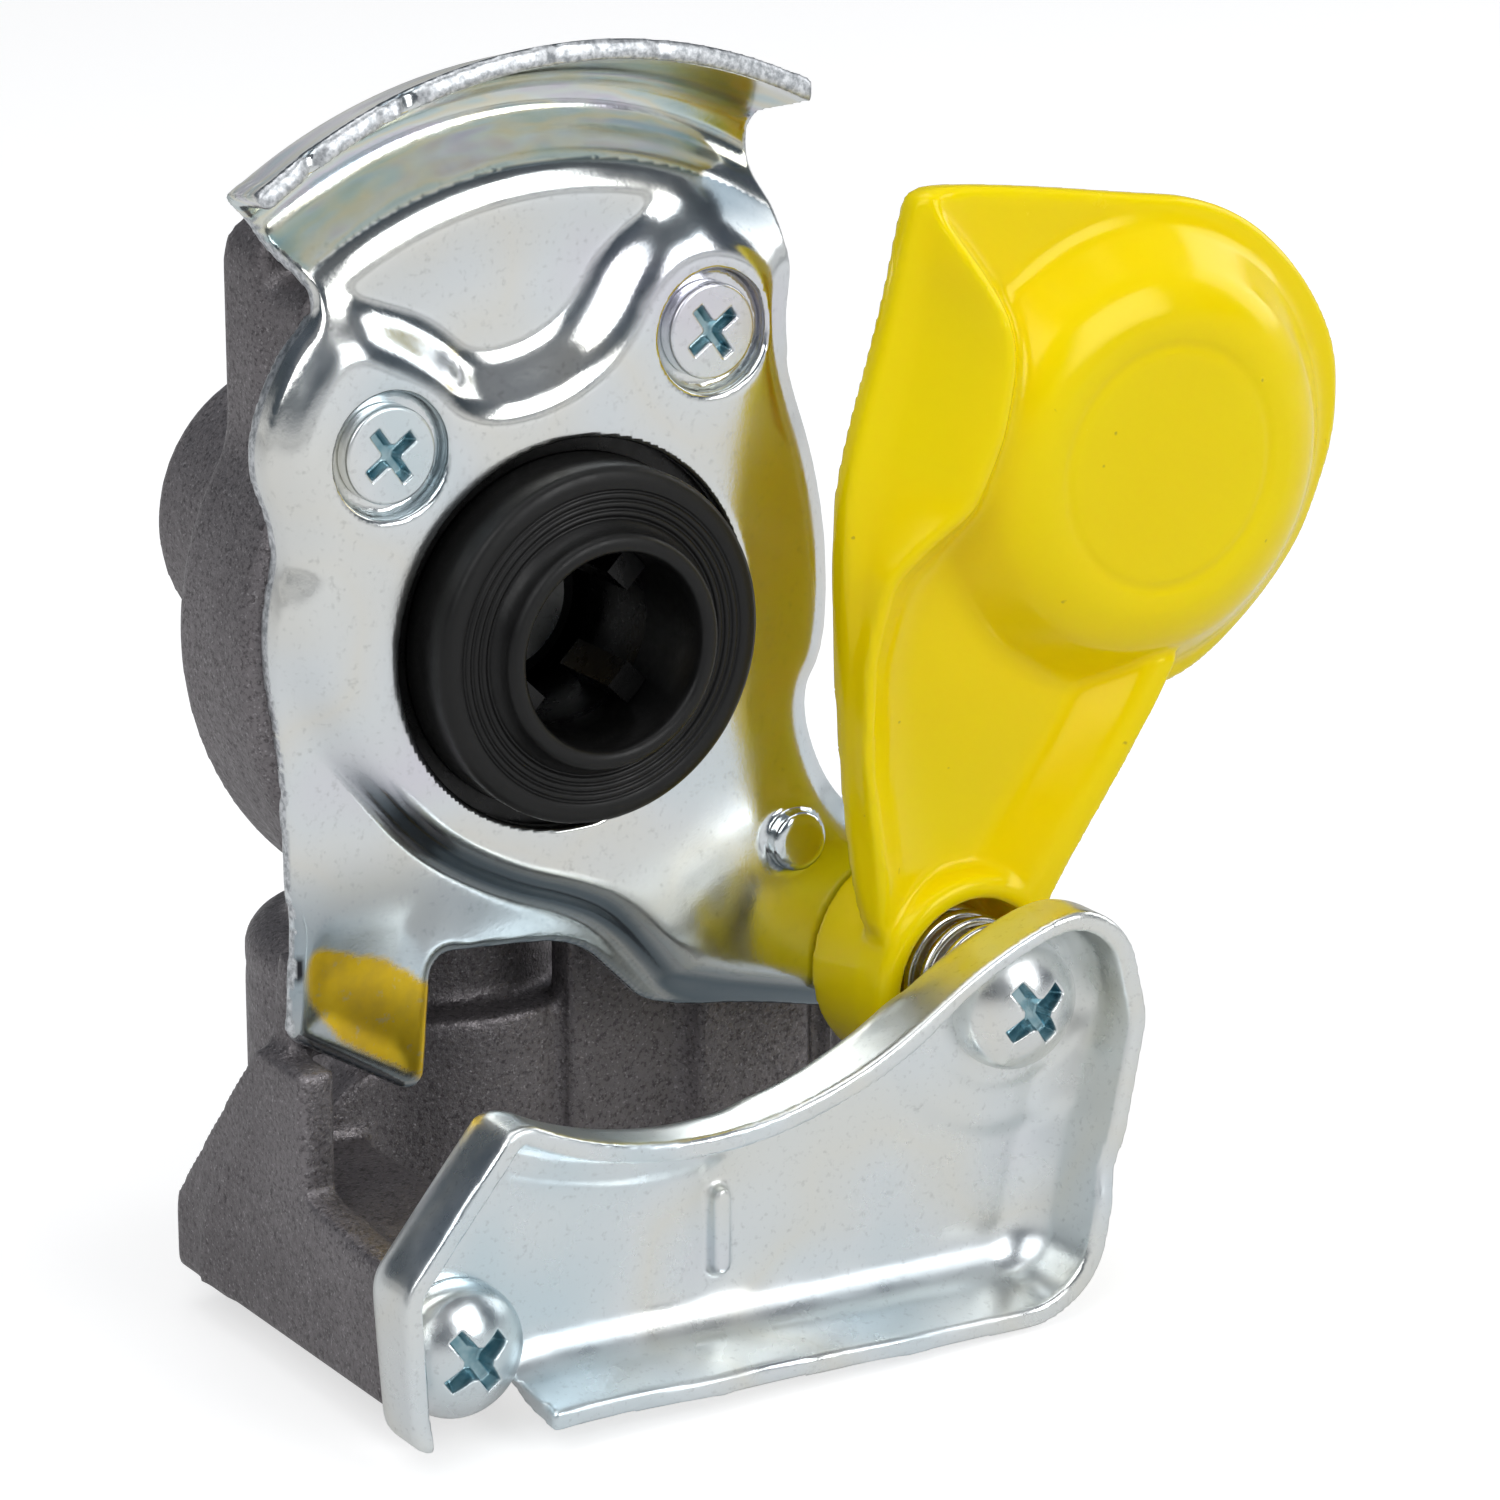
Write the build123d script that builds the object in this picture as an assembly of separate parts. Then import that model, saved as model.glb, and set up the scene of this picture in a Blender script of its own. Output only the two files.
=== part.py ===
from build123d import *
import math
import os

# A palm coupling (gladhand) for an air brake line, with an automatic shut-off valve.
# Lengths are millimetres, angles degrees. Every piece is modelled lying on its back:
# x to the right, y up the face, z towards the viewer, the seal's axis at x = y = 0 and
# the front of the pressed plate's pad at z = 0. The last function stands it on its port.

# Sheet metal, clearances and travel
sheet = 2.0
gap = 0.3
running = 0.05
valve_travel = 4.0
cover_lift = 2.5

# Where the port stands
seal_height = 66.0
port_depth = 30.4

# Plate: pad, recess for the mating lip, rolled rim, seal hole and screw dimples
recess_drop = 4.0
rim_depth = 4.8
rim_roll = 4.2
plate_hole = 18.8
left_screw = (-19.2, 19.9)
right_screw = (15.4, 27.1)
dimple_r = 5.9
dimple_depth = 2.2
dimple_wall = 1.2
detent_at = (24.1, -24.3)
detent_r = 3.3
detent_height = 1.4

# Lip: its reach from the seal's axis and the gutter behind its front edge
lip_reach = 55.9
lip_foot = 44.0
gutter_reach = 47.4
gutter_floor_end = 51.9
gutter_depth = 9.8
lip_front = 0.6

# Bracket: its mouth round the seal, its foot and its screw
bracket_left_screw = (-24.3, -60.3)
bracket_bottom = -69.8
bracket_back = 15.0
flange_front = 25.0
flange_roll = 3.0
mouth_reach = 42.0
mouth_round = 7.0
mouth_tip_round = 2.4
seat_step = 0.6

# Screws: countersunk M5 on the plate, pan head M6 on the bracket
plate_thread_r = 2.5
plate_head_r = 4.65
plate_head_height = 2.0
plate_screw_length = 14.0
bracket_thread_r = 3.0
pan_r = 6.0
pan_height = 4.6
pan_round = 1.9
pan_cross_width = 1.4
bracket_screw_length = 16.0
pivot_grip = 9.0
hole_end = 1.0
cross_width = 1.1
cross_reach = 5.3
cross_turn = 35.0
cross_depth = 1.6
screw_hole_clearance = 0.25

# The cover's pivot: its screw's head stands clear of the flange round the mouth
pivot_direction = math.radians(-45.53)
pivot_clearance = 3.53
pivot_reach = mouth_reach + sheet + pan_r + pivot_clearance
pivot = (pivot_reach * math.cos(pivot_direction), pivot_reach * math.sin(pivot_direction))

# Pivot sleeve, cover boss and spring
sleeve_r = 4.5
boss_r = 11.2
boss_ring_r = 10.4
spring_seat_r = 8.4
boss_front = 10.6
spring_seat_depth = 7.4
spring_wire = 1.0
spring_outer_r = 6.6
spring_turns = 4.5

# Cover: cup over the seal, neck and finger wing
rim_plane = 7.8
cup_r = 24.3
cup_foot_r = 22.8
cup_face_r = 16.8
cup_front = 17.0
cup_round = 2.6
cup_wall = 2.2
cover_floor = 2.4
open_angle = 65.0
ring_groove_r = 11.9
rib_top = 12.2
rib_width = 2.6

# Seal ring and valve
seal_r = 17.2
seal_bore_r = 9.5
seal_front = 5.0
seal_lip_front = 7.4
seal_back = -3.0
carrier_flange_r = 19.6
carrier_flange = 3.2
carrier_r = 15.0
carrier_back = -19.0
lug_reach = 6.4
lug_width = 3.0
lug_front = 0.0
lug_length = 9.0
seat_bore_r = 7.0
seat_thickness = 2.0
valve_disc_r = 8.6
valve_disc = 2.0
disc_washer = 1.0
stem_r = 3.0
foot_thickness = 2.5
ring_section = 2.5
valve_wire = 1.4
valve_spring_turns = 6.0

# Housing casting
drum_r = 31.6
drum_front = -6.0
drum_back = -21.0
collar_r = 18.0
collar_back = -26.0
block_back = -21.0
chamber_wall = 4.0
chamber_bore_r = 11.5
chamber_back = -57.0
chamber_floor = 3.0
casting_round = 2.5
port_boss_r = 17.8
neck_r = 13.4
boss_shoulder = -41.5
shoulder_rise = 5.4
shoulder_round = 3.6
port_thread_r = 10.19
port_thread_length = 18.0
air_passage_r = 6.5
post_r = 8.0
web_front = -10.0
web_back = -16.0
foot_wall = 3.6
foot_left = -30.0
foot_front = -0.5
foot_top = -38.4
foot_back = -27.0
foot_bottom = -66.0
arm_width = 15.0


def rounded(points):
    """A closed face from corners given as (x, y, fillet radius)."""
    corners = [(x, y) for x, y, radius in points]
    radii = [radius for x, y, radius in points]
    return make_face(FilletPolyline(*corners, radius=radii, close=True))


def prism(face, low, high):
    """A sketch on the face plane, from z = low to z = high."""
    return extrude(Pos(0, 0, low) * face, high - low)


def disc(radius, low, high, at=(0, 0)):
    """A round bar along z."""
    return prism(Pos(*at) * Circle(radius), low, high)


def turned(points):
    """A body of revolution round z, from (radius, z) corners."""
    face = make_face(Polyline(*[(r, 0, z) for r, z in points], close=True))
    return revolve(face, Axis.Z)


def top_edges(body, level):
    """The edges of a body that lie flat at one height."""
    return [e for e in body.edges() if abs(e.bounding_box().min.Z - level) < 0.01
            and abs(e.bounding_box().max.Z - level) < 0.01]


def plate_outline(bottom):
    """The plate's edge round two screw ears, the seal and the pivot, closed by a bottom edge."""
    return rounded([
        (-27.6, 12.0, 3.0), (-31.6, 21.5, 8.0), (-24.5, 34.0, 7.0), (-14.0, 29.0, 4.0),
        (-8.6, 24.6, 5.0), (2.6, 27.0, 6.0), (8.2, 37.2, 6.0), (17.0, 39.0, 6.0),
        (25.2, 33.6, 6.0), (24.0, 25.0, 6.0), (29.4, 9.5, 9.0), (30.0, -6.0, 4.0),
        (26.2, -11.5, 4.0), (31.5, -24.0, 6.0), (pivot[0] + 9.0, pivot[1] + 7.2, 8.0),
        (pivot[0] + 8.5, pivot[1] - 9.8, 7.8), (pivot[0] - 14.5, pivot[1] - 3.6, 7.0)] + bottom)


def pad_outline():
    """The raised pad, whose bottom left edge is a slanting bend."""
    return plate_outline([(12.4, -39.8, 5.0), (5.4, -30.6, 6.0), (-10.0, -25.6, 14.0),
                          (-26.0, -10.0, 10.0), (-32.4, 0.0, 18.0)])


def apron_outline():
    """The sheet below that bend: pad and apron together."""
    return plate_outline([(9.8, -40.0, 5.0), (3.0, -32.0, 5.0), (-14.0, -30.2, 0), (-27.8, -24.0, 0),
                          (-28.0, -16.5, 4.0), (-32.4, 0.0, 18.0)])


def neck_outline():
    """The flat neck above the pad, up to the foot of the lip."""
    band = rounded([(-22.9, 24.0, 0), (-23.4, 31.0, 0), (-25.3, 36.0, 2.0), (-30.0, 43.5, 0),
                    (25.4, 43.5, 0), (25.2, 24.0, 0)])
    return band & Circle(lip_foot - 1.0)


def tab_outline():
    """The finger at the lower left that guides the mating lip."""
    return rounded([(-27.4, -14.0, 0), (-29.0, -36.2, 1.6), (-14.6, -45.0, 1.6),
                    (-13.4, -33.0, 1.6), (-10.0, -29.6, 0), (-12.0, -20.0, 0)])


def lip():
    """The curled lip: a strip turned about the seal's axis and trimmed at both ends."""
    mid = -recess_drop - sheet / 2
    section = FilletPolyline((lip_foot - 3.0, mid), (lip_foot, mid),
                             (gutter_reach, -gutter_depth), (gutter_floor_end, -gutter_depth),
                             (lip_reach - 1.0, lip_front), radius=[2.0, 2.4, 2.4])
    strip = Plane.XZ * trace(section, sheet)
    ring = revolve(strip, Axis.Z)
    ends = rounded([(-23.2, 30.0, 0), (-25.3, 36.0, 3.0), (-28.0, 41.0, 4.0), (-32.8, 45.4, 2.0),
                    (-30.6, 60.0, 0), (25.4, 60.0, 0), (26.0, 49.5, 1.5), (25.2, 44.0, 3.0),
                    (25.2, 30.0, 0)])
    return ring & prism(ends, -gutter_depth - 3 * sheet, lip_front + sheet)


def claw_plate():
    """Pressed and zinc plated: pad, neck, lip and tab are one sheet."""
    outline = pad_outline()
    skin = prism(outline, -rim_depth, 0)
    skin = fillet(top_edges(skin, 0), rim_roll)
    sheets = prism(neck_outline() + tab_outline() + (apron_outline() - outline),
                   -recess_drop - sheet, -recess_drop)
    under_pad = prism(offset(outline, -sheet), -rim_depth - sheet, -sheet)
    under_pad = fillet(top_edges(under_pad, -sheet), rim_roll - sheet)
    plate = skin + sheets + lip() - under_pad
    for at in (left_screw, right_screw):
        plate += disc(dimple_r + dimple_wall, -dimple_depth - sheet, -sheet, at)
        plate -= disc(dimple_r, -dimple_depth, 0, at)
        plate -= disc(plate_thread_r + screw_hole_clearance, -rim_depth, 0, at)
    pip = disc(detent_r, -sheet, detent_height, detent_at)
    plate += fillet(top_edges(pip, detent_height), detent_height * 0.8)
    plate -= disc(detent_r - 1.0, -sheet, detent_height - sheet, detent_at)
    plate -= disc(plate_hole, -rim_depth, sheet)
    plate -= disc(sleeve_seat_r(), -rim_depth, sheet, pivot)
    return plate


def sleeve_seat_r():
    """The hole in the plate that the pivot sleeve stands in."""
    return sleeve_r + gap / 3


def bracket_outline():
    """The guide bracket's plan: a hollow top edge round the seal and a folded foot."""
    body = rounded([(-33.6, -51.0, 5.0), (-17.4, -31.6, 0), (0, -30.0, 0),
                    (pivot[0] - 8.5, pivot[1] + 10.6, 0), (pivot[0] + 8.5, pivot[1] + 10.4, 8.0),
                    (pivot[0] + 11.7, pivot[1] - 1.8, 6.0),
                    (43.6, bracket_bottom + 4.3, 5.0), (38.8, bracket_bottom, 4.0),
                    (-19.0, bracket_bottom + 2.2, 3.0), (-32.6, bracket_bottom + 3.2, 2.0)])
    plan = body - Circle(mouth_reach)
    ends = [v for v in plan.vertices() if abs(math.hypot(v.X, v.Y) - mouth_reach) < 0.01]
    left, right = sorted(ends, key=lambda v: v.X)
    plan = fillet(right, mouth_round)
    ends = [v for v in plan.vertices() if abs(math.hypot(v.X, v.Y) - mouth_reach) < 0.01]
    return fillet(min(ends, key=lambda v: v.X), mouth_tip_round)


def guide_bracket():
    """Pressed tray: its flanges point forward and its floor holds the mating lip."""
    outline = bracket_outline()
    tray = prism(outline, bracket_back, flange_front)
    tray = fillet(top_edges(tray, bracket_back), flange_roll)
    tray -= prism(offset(outline, -sheet), bracket_back + sheet, flange_front)
    x, y = bracket_left_screw
    reach = pan_r + gap
    corner = rounded([(x - reach, y + 2.3, 0), (x - reach, y - 20.0, 0), (x + reach, y - 20.0, 0),
                      (x + reach, y - 4.2, 0), (x + 3.3, y - 4.2, 0), (x + 3.3, y + 2.3, 0)])
    tray -= prism(corner, bracket_back + sheet, flange_front)
    tray -= prism(Pos(x - 1.5, y - 10.1) * Rectangle(15.0, 6.4), bracket_back, flange_front)
    rib = prism(Pos(5.0, -55.2) * SlotCenterToCenter(6.8, 2.4, rotation=90),
                bracket_back + sheet, bracket_back + sheet + 0.9)
    tray += fillet(top_edges(rib, bracket_back + sheet + 0.9), 0.5)
    tray += disc(pan_r + 2.2, bracket_back, pivot_seat(), pivot)
    for at in (bracket_left_screw, pivot):
        tray -= disc(bracket_thread_r + screw_hole_clearance, bracket_back - 1, flange_front, at)
    return tray


def cross_recess(level, at, width):
    """The cross slot of a screw head, cut from its face down."""
    cross = Rectangle(width, cross_reach) + Rectangle(cross_reach, width)
    return prism(Pos(*at) * Rot(0, 0, cross_turn) * cross, level - cross_depth, level + 1)


def plate_screw(at):
    """Flat head screw whose face is flush with the pad."""
    face = -dimple_depth + plate_head_height
    body = disc(plate_head_r, -dimple_depth, face, at)
    body = fillet(top_edges(body, face), 0.35)
    body += disc(plate_thread_r, face - plate_head_height - plate_screw_length, -dimple_depth, at)
    return body - cross_recess(face, at, cross_width)


def pan_screw(at, seat, length):
    """Pan head screw seated at one height, its shank pointing back."""
    body = disc(pan_r, seat, seat + pan_height, at)
    body = fillet(top_edges(body, seat + pan_height), pan_round)
    body += disc(bracket_thread_r, seat - length, seat, at)
    return body - cross_recess(seat + pan_height, at, pan_cross_width)


def pivot_seat():
    """The height of the pad on the bracket that carries the pivot screw's head."""
    return bracket_back + sheet + seat_step


def pivot_screw():
    """The long pan head screw through bracket, sleeve and housing post."""
    return pan_screw(pivot, pivot_seat(), pivot_seat() - drum_front + pivot_grip)


def pivot_sleeve():
    """Steel tube between the housing post and the bracket, which the cover turns on."""
    tube = disc(sleeve_r, -sheet, bracket_back, pivot)
    return tube - disc(bracket_thread_r + screw_hole_clearance, -sheet, bracket_back, pivot)


def coil(radius, wire, length, turns):
    """A compression spring standing on z = 0."""
    pitch = (length - wire) / turns
    path = Pos(0, 0, wire / 2) * Helix(pitch=pitch, height=length - wire, radius=radius)
    section = Plane(origin=path @ 0, z_dir=path % 0) * Circle(wire / 2)
    return sweep(section, path=path, is_frenet=True)


def cover_spring():
    """Presses the cover on to the plate; it stands in the boss and bears on the bracket."""
    seat = boss_front - spring_seat_depth
    spring = coil(spring_outer_r - spring_wire / 2, spring_wire, bracket_back - seat, spring_turns)
    return Pos(*pivot, seat) * spring


def along_arm(distance, left, height):
    """A point on the cover: distance from the pivot towards the cup, and to the left of it."""
    arm = math.radians(cup_direction())
    x = pivot[0] + distance * math.cos(arm) - left * math.sin(arm)
    y = pivot[1] + distance * math.sin(arm) + left * math.cos(arm)
    return (x, y, height)


def cup_direction():
    """The cup's direction from the pivot when the cover is open."""
    return math.degrees(math.atan2(-pivot[1], -pivot[0])) - open_angle


def arm_length():
    """The pivot's distance from the seal, which is the cup's distance from the pivot."""
    return math.hypot(*pivot)


def on_cover(points):
    """A flat face on the cover, from (distance, left) corners."""
    return make_face(Polyline(*[along_arm(u, v, 0)[:2] for u, v in points], close=True))


def wing_section(distance, base, crest, foot, crest_height):
    """One cross section of the finger wing, from its outer edge over the crest to the floor."""
    floor = rim_plane + cover_floor
    points = [along_arm(distance, base, rim_plane), along_arm(distance, base, rim_plane + 0.8),
              along_arm(distance, crest, crest_height),
              along_arm(distance, crest - 1.4, crest_height - 0.3),
              along_arm(distance, foot, floor), along_arm(distance, foot, rim_plane)]
    return make_face(Polyline(*points, close=True))


def wing_hollow(distance, base, foot, crest, height):
    """One cross section of the hollow behind the wing."""
    points = [along_arm(distance, base, rim_plane), along_arm(distance, crest, height),
              along_arm(distance, foot, height - 1.6), along_arm(distance, foot, rim_plane)]
    return make_face(Polyline(*points, close=True))


def bank_section(distance, edge, foot):
    """One cross section of the bank on the neck's right side."""
    points = [along_arm(distance, edge, rim_plane), along_arm(distance, edge + 0.4, rib_top),
              along_arm(distance, edge + rib_width, rib_top),
              along_arm(distance, foot, rim_plane + cover_floor),
              along_arm(distance, foot, rim_plane)]
    return make_face(Polyline(*points, close=True))


def cover():
    """Moulded in one piece: cup, channel neck, finger wing and pivot boss."""
    cup_at = along_arm(arm_length(), 0, 0)[:2]
    floor = rim_plane + cover_floor
    plan = on_cover([(0.0, 9.0), (8.0, 15.4), (24.0, 22.6), (36.0, 27.8), (44.0, 30.4),
                     (70.0, 31.6), (72.0, 29.6), (74.6, 20.0), (78.2, 2.0), (77.6, -6.8),
                     (75.0, -13.6), (70.4, -18.6), (64.8, -21.8), (57.6, -23.2), (33.0, -10.6),
                     (8.0, -6.6), (0.0, -4.0)])
    body = prism(plan, rim_plane, floor) + disc(cup_r, rim_plane, floor, cup_at)
    body += Pos(*cup_at, floor) * Solid.make_cone(cup_foot_r, cup_face_r, cup_front - floor)
    body = fillet(top_edges(body, cup_front), cup_round)
    hips = wing_section(36.0, 28.6, 25.8, 21.0, 14.8)
    body += loft([wing_section(7.0, 15.4, 14.8, 11.0, 11.6),
                  wing_section(24.0, 23.6, 23.2, 19.0, 12.8), hips], ruled=True)
    body += loft([hips, wing_section(44.0, 31.2, 22.2, 15.2, 17.6),
                  wing_section(52.0, 31.4, 22.2, 15.2, 17.8),
                  wing_section(60.0, 31.8, 23.6, 17.6, 17.6),
                  wing_section(65.5, 32.1, 27.0, 22.0, 16.0),
                  wing_section(70.8, 32.5, 31.4, 29.0, 10.6)], ruled=True)
    body += loft([bank_section(7.0, -6.4, 1.8), bank_section(35.0, -10.8, -2.4)], ruled=True)
    body += disc(boss_r, running, boss_front - 0.8, pivot)
    body += disc(boss_ring_r, running, boss_front, pivot)
    inner_foot = cup_foot_r - cup_wall + 1.0
    body -= Pos(*cup_at, rim_plane) * Solid.make_cone(inner_foot, cup_face_r - 1.4,
                                                      cup_front - cup_wall - rim_plane)
    body -= loft([wing_hollow(44.0, 28.2, 23.0, 23.2, 14.6),
                  wing_hollow(52.0, 28.4, 23.2, 23.4, 14.8),
                  wing_hollow(60.0, 28.8, 24.6, 25.0, 14.4),
                  wing_hollow(65.0, 29.2, 26.8, 27.4, 12.6)], ruled=True)
    groove = disc(ring_groove_r + 0.25, cup_front - 0.3, cup_front, cup_at)
    body -= groove - disc(ring_groove_r - 0.25, cup_front - 0.3, cup_front, cup_at)
    body -= disc(spring_seat_r, boss_front - spring_seat_depth, boss_front + cup_front, pivot)
    body -= disc(sleeve_r + running, 0, boss_front, pivot)
    return body


def seal_ring():
    """Rubber ring with a raised inner lip and fine sealing grooves on its face."""
    inner = seal_bore_r
    ring = turned([(inner, seal_back), (seal_r - 1.2, seal_back), (seal_r, seal_back + 1.2),
                   (seal_r, seal_front - 1.0), (seal_r - 1.0, seal_front),
                   (14.6, seal_front + 0.1), (11.6, seal_front + 1.0), (11.3, seal_lip_front - 0.6),
                   (10.7, seal_lip_front), (inner + 0.3, seal_lip_front), (inner, seal_lip_front - 0.6)])
    for groove in (12.2, 13.0, 13.8, 14.6):
        cut = turned([(groove - 0.2, seal_front - 0.2), (groove + 0.2, seal_front - 0.2),
                      (groove + 0.2, seal_front + 2), (groove - 0.2, seal_front + 2)])
        ring -= cut
    return ring


def seal_carrier():
    """Black plastic sleeve that carries the seal and opens the valve when pushed back."""
    flange_top = -sheet
    body = disc(carrier_flange_r, flange_top - carrier_flange, flange_top)
    body += disc(carrier_r, carrier_back, flange_top)
    body -= disc(seal_r + 0.1, seal_back, 0)
    bore = seal_bore_r
    body -= disc(bore, carrier_back + seat_thickness, 0)
    body -= disc(seat_bore_r, carrier_back, 0)
    lugs = [Rot(0, 0, 45 + 90 * k) * Pos((bore + lug_reach) / 2 + 0.25, 0)
            * Rectangle(bore - lug_reach + 0.5, lug_width) for k in range(4)]
    body += prism(Sketch() + lugs, lug_front - lug_length, seal_back)
    tips = prism(Sketch() + lugs, seal_back, lug_front) & disc(bore - 0.1, seal_back, lug_front)
    body += tips
    groove = disc(carrier_r, groove_middle() - 1.5, groove_middle() + 1.5)
    return body - (groove - disc(carrier_r - ring_section, -carrier_r * 2, 0))


def groove_middle():
    """The height of the ring groove in the carrier's wall."""
    return -sheet - carrier_flange - valve_travel - ring_section - 0.8


def carrier_o_ring():
    """Rubber ring between the carrier and the housing's bore."""
    section = ring_section / 2 - 0.03
    return Pos(0, 0, groove_middle()) * Torus(carrier_r - ring_section + ring_section / 2, section)


def disc_front():
    """The height of the valve disc's front face."""
    return carrier_back + seat_thickness + valve_disc + disc_washer


def valve_disc_piece():
    """Rubber disc that rests on the carrier's seat when nothing is coupled."""
    low = carrier_back + seat_thickness
    return disc(valve_disc_r, low, low + valve_disc) - disc(stem_r - 1, low, low + valve_disc)


def valve_disc_washer():
    """Metal washer that clamps the rubber disc on the stem."""
    low = carrier_back + seat_thickness + valve_disc
    return disc(valve_disc_r - 1.6, low, low + disc_washer) - disc(stem_r - 1, low, low + disc_washer)


def valve_stem():
    """Fixed stem with a riveted tip, standing on a foot at the chamber's end."""
    low = chamber_back + chamber_floor
    shoulder = carrier_back + seat_thickness
    body = disc(chamber_bore_r - gap, low, low + foot_thickness)
    body += disc(stem_r, low, shoulder)
    body += disc(stem_r - 1, shoulder, disc_front())
    body += disc(stem_r + 0.4, disc_front(), disc_front() + 0.8)
    return body


def valve_spring():
    """Pushes the carrier forward against the plate."""
    low = chamber_back + chamber_floor + foot_thickness
    outer = chamber_bore_r - 2 * gap
    spring = coil(outer - valve_wire / 2, valve_wire, carrier_back - low, valve_spring_turns)
    return Pos(0, 0, low) * spring


def upright(radius, low, high, depth=-port_depth):
    """A round bar along y, on the port's axis."""
    bar = Solid.make_cylinder(radius, high - low)
    return Pos(0, low, depth) * Rot(-90, 0, 0) * bar


def along_x(corners, left, right):
    """A block with its outline drawn in the y-z plane, from (y, z) corners."""
    face = make_face(Polyline(*[(left, y, z) for y, z in corners], close=True))
    return extrude(face, right - left, dir=(1, 0, 0))


def foot():
    """The left foot: an outer wall, and the arm that carries the bracket's screw."""
    wall = along_x([(foot_top, foot_front), (-50.5, foot_front), (-52.4, bracket_back),
                    (foot_bottom, bracket_back), (foot_bottom, foot_back), (-58.6, foot_back),
                    (-42.0, -13.0), (foot_top, -9.6)], foot_left, foot_left + foot_wall)
    neck = along_x([(foot_top, drum_front), (foot_top, -13.0), (-15.0, -13.0),
                    (-15.0, drum_front)], foot_left + 5.4, foot_left + 11.0)
    neck += along_x([(foot_top, drum_front), (foot_top, -11.0), (-31.0, -9.0),
                     (-31.0, drum_front)], foot_left + 2.0, foot_left + 8.0)
    arm = along_x([(-52.4, bracket_back), (foot_bottom, bracket_back), (foot_bottom, foot_back),
                   (-60.0, foot_back), (-52.4, -19.6)], foot_left, foot_left + arm_width)
    bridge = prism(rounded([(foot_left, foot_bottom, 0), (0, foot_bottom, 0), (0, -46.0, 0),
                            (foot_left + arm_width, -46.0, 0), (foot_left + foot_wall, -56.0, 0),
                            (foot_left, -56.0, 0)]), foot_back + 6.0, foot_back + 11.0)
    return wall + neck + arm + bridge


def side_web():
    """The web that ties the pivot post to the drum and the port boss."""
    plan = rounded([(4.0, -24.0, 0), (4.0, foot_bottom + 6.0, 0), (20.0, -58.0, 4),
                    (pivot[0] + 0.5, pivot[1] - 8.8, 5), (pivot[0] + 6.5, pivot[1] + 4.2, 5),
                    (26.0, -16.0, 0)])
    return prism(plan, web_back, web_front) + disc(post_r, web_back, drum_front, pivot)


def port_shoulder():
    """The port boss stands higher at its back left, where its top is well rounded."""
    top = boss_shoulder + shoulder_rise
    cap = upright(port_boss_r, boss_shoulder - 1.0, top)
    cap = fillet(cap.edges().group_by(Axis.Y)[-1], shoulder_round)
    half = port_boss_r - shoulder_round * 2
    keep = Pos(-port_boss_r, boss_shoulder) * Rectangle(2 * half, 4 * shoulder_rise)
    return cap & prism(keep, -port_depth - port_boss_r, -port_depth + shoulder_round)


def housing():
    """Die-cast body: drum, valve chamber, port boss, foot and pivot post."""
    body = prism(offset(pad_outline(), -sheet - gap), drum_front - 1.0, -sheet)
    body = fillet(top_edges(body, -sheet), rim_roll - sheet)
    drum = disc(drum_r, drum_back, drum_front)
    body += fillet(top_edges(drum, drum_back), casting_round)
    shoulder = rounded([(-25.0, 14.0, 0), (-25.0, 35.6, 4.0), (23.0, 35.6, 4.0), (23.0, 14.0, 0)])
    body += prism(shoulder, -13.0, drum_front)
    block = rounded([(-25.8, 14.0, 0), (-25.8, 39.4, 3.0), (22.0, 39.4, 5.0), (22.0, 14.0, 0)])
    body += fillet(top_edges(prism(block, block_back, -13.0), block_back), casting_round)
    collar = disc(collar_r, collar_back, drum_back)
    body += fillet(top_edges(collar, collar_back), casting_round)
    chamber = disc(chamber_bore_r + chamber_wall, chamber_back, drum_back)
    body += fillet(top_edges(chamber, chamber_back), casting_round)
    body += upright(neck_r, boss_shoulder - 2, 0)
    body += upright(port_boss_r, -seal_height, boss_shoulder)
    body += port_shoulder() + foot() + side_web()
    body -= upright(port_thread_r, -seal_height - 1, -seal_height + port_thread_length)
    body -= upright(air_passage_r, -seal_height, 0)
    body -= disc(carrier_flange_r + gap, -sheet - carrier_flange - valve_travel - 0.5, 0)
    body -= disc(carrier_r + running, carrier_back - valve_travel - 0.5, 0)
    body -= disc(chamber_bore_r, chamber_back + chamber_floor, 0)
    for at in (left_screw, right_screw):
        body -= disc(dimple_r + dimple_wall + gap, -dimple_depth - sheet, 0, at)
        body -= disc(plate_thread_r, -dimple_depth - plate_screw_length - hole_end, 0, at)
    screw_end = bracket_back + sheet - bracket_screw_length
    body -= disc(bracket_thread_r, screw_end - hole_end, bracket_back, bracket_left_screw)
    body -= disc(bracket_thread_r, drum_front - pivot_grip - hole_end, 0, pivot)
    return body


def stand_up(shape):
    """Turns the face to the front and sets the port's mouth on the origin."""
    return Plane(origin=(0, -port_depth, seal_height), x_dir=(1, 0, 0), z_dir=(0, -1, 0)) * shape


pieces = {
    "housing": housing(),
    "claw_plate": claw_plate(),
    "plate_screw_left": plate_screw(left_screw),
    "plate_screw_right": plate_screw(right_screw),
    "guide_bracket": guide_bracket(),
    "bracket_screw": pan_screw(bracket_left_screw, bracket_back + sheet, bracket_screw_length),
    "pivot_screw": pivot_screw(),
    "pivot_sleeve": pivot_sleeve(),
    "cover": cover(),
    "cover_spring": cover_spring(),
    "seal_ring": seal_ring(),
    "seal_carrier": seal_carrier(),
    "carrier_o_ring": carrier_o_ring(),
    "valve_disc": valve_disc_piece(),
    "valve_disc_washer": valve_disc_washer(),
    "valve_stem": valve_stem(),
    "valve_spring": valve_spring(),
}

os.makedirs("parts", exist_ok=True)
for name, piece in pieces.items():
    export_step(stand_up(piece), "parts/" + name + ".step")
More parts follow.
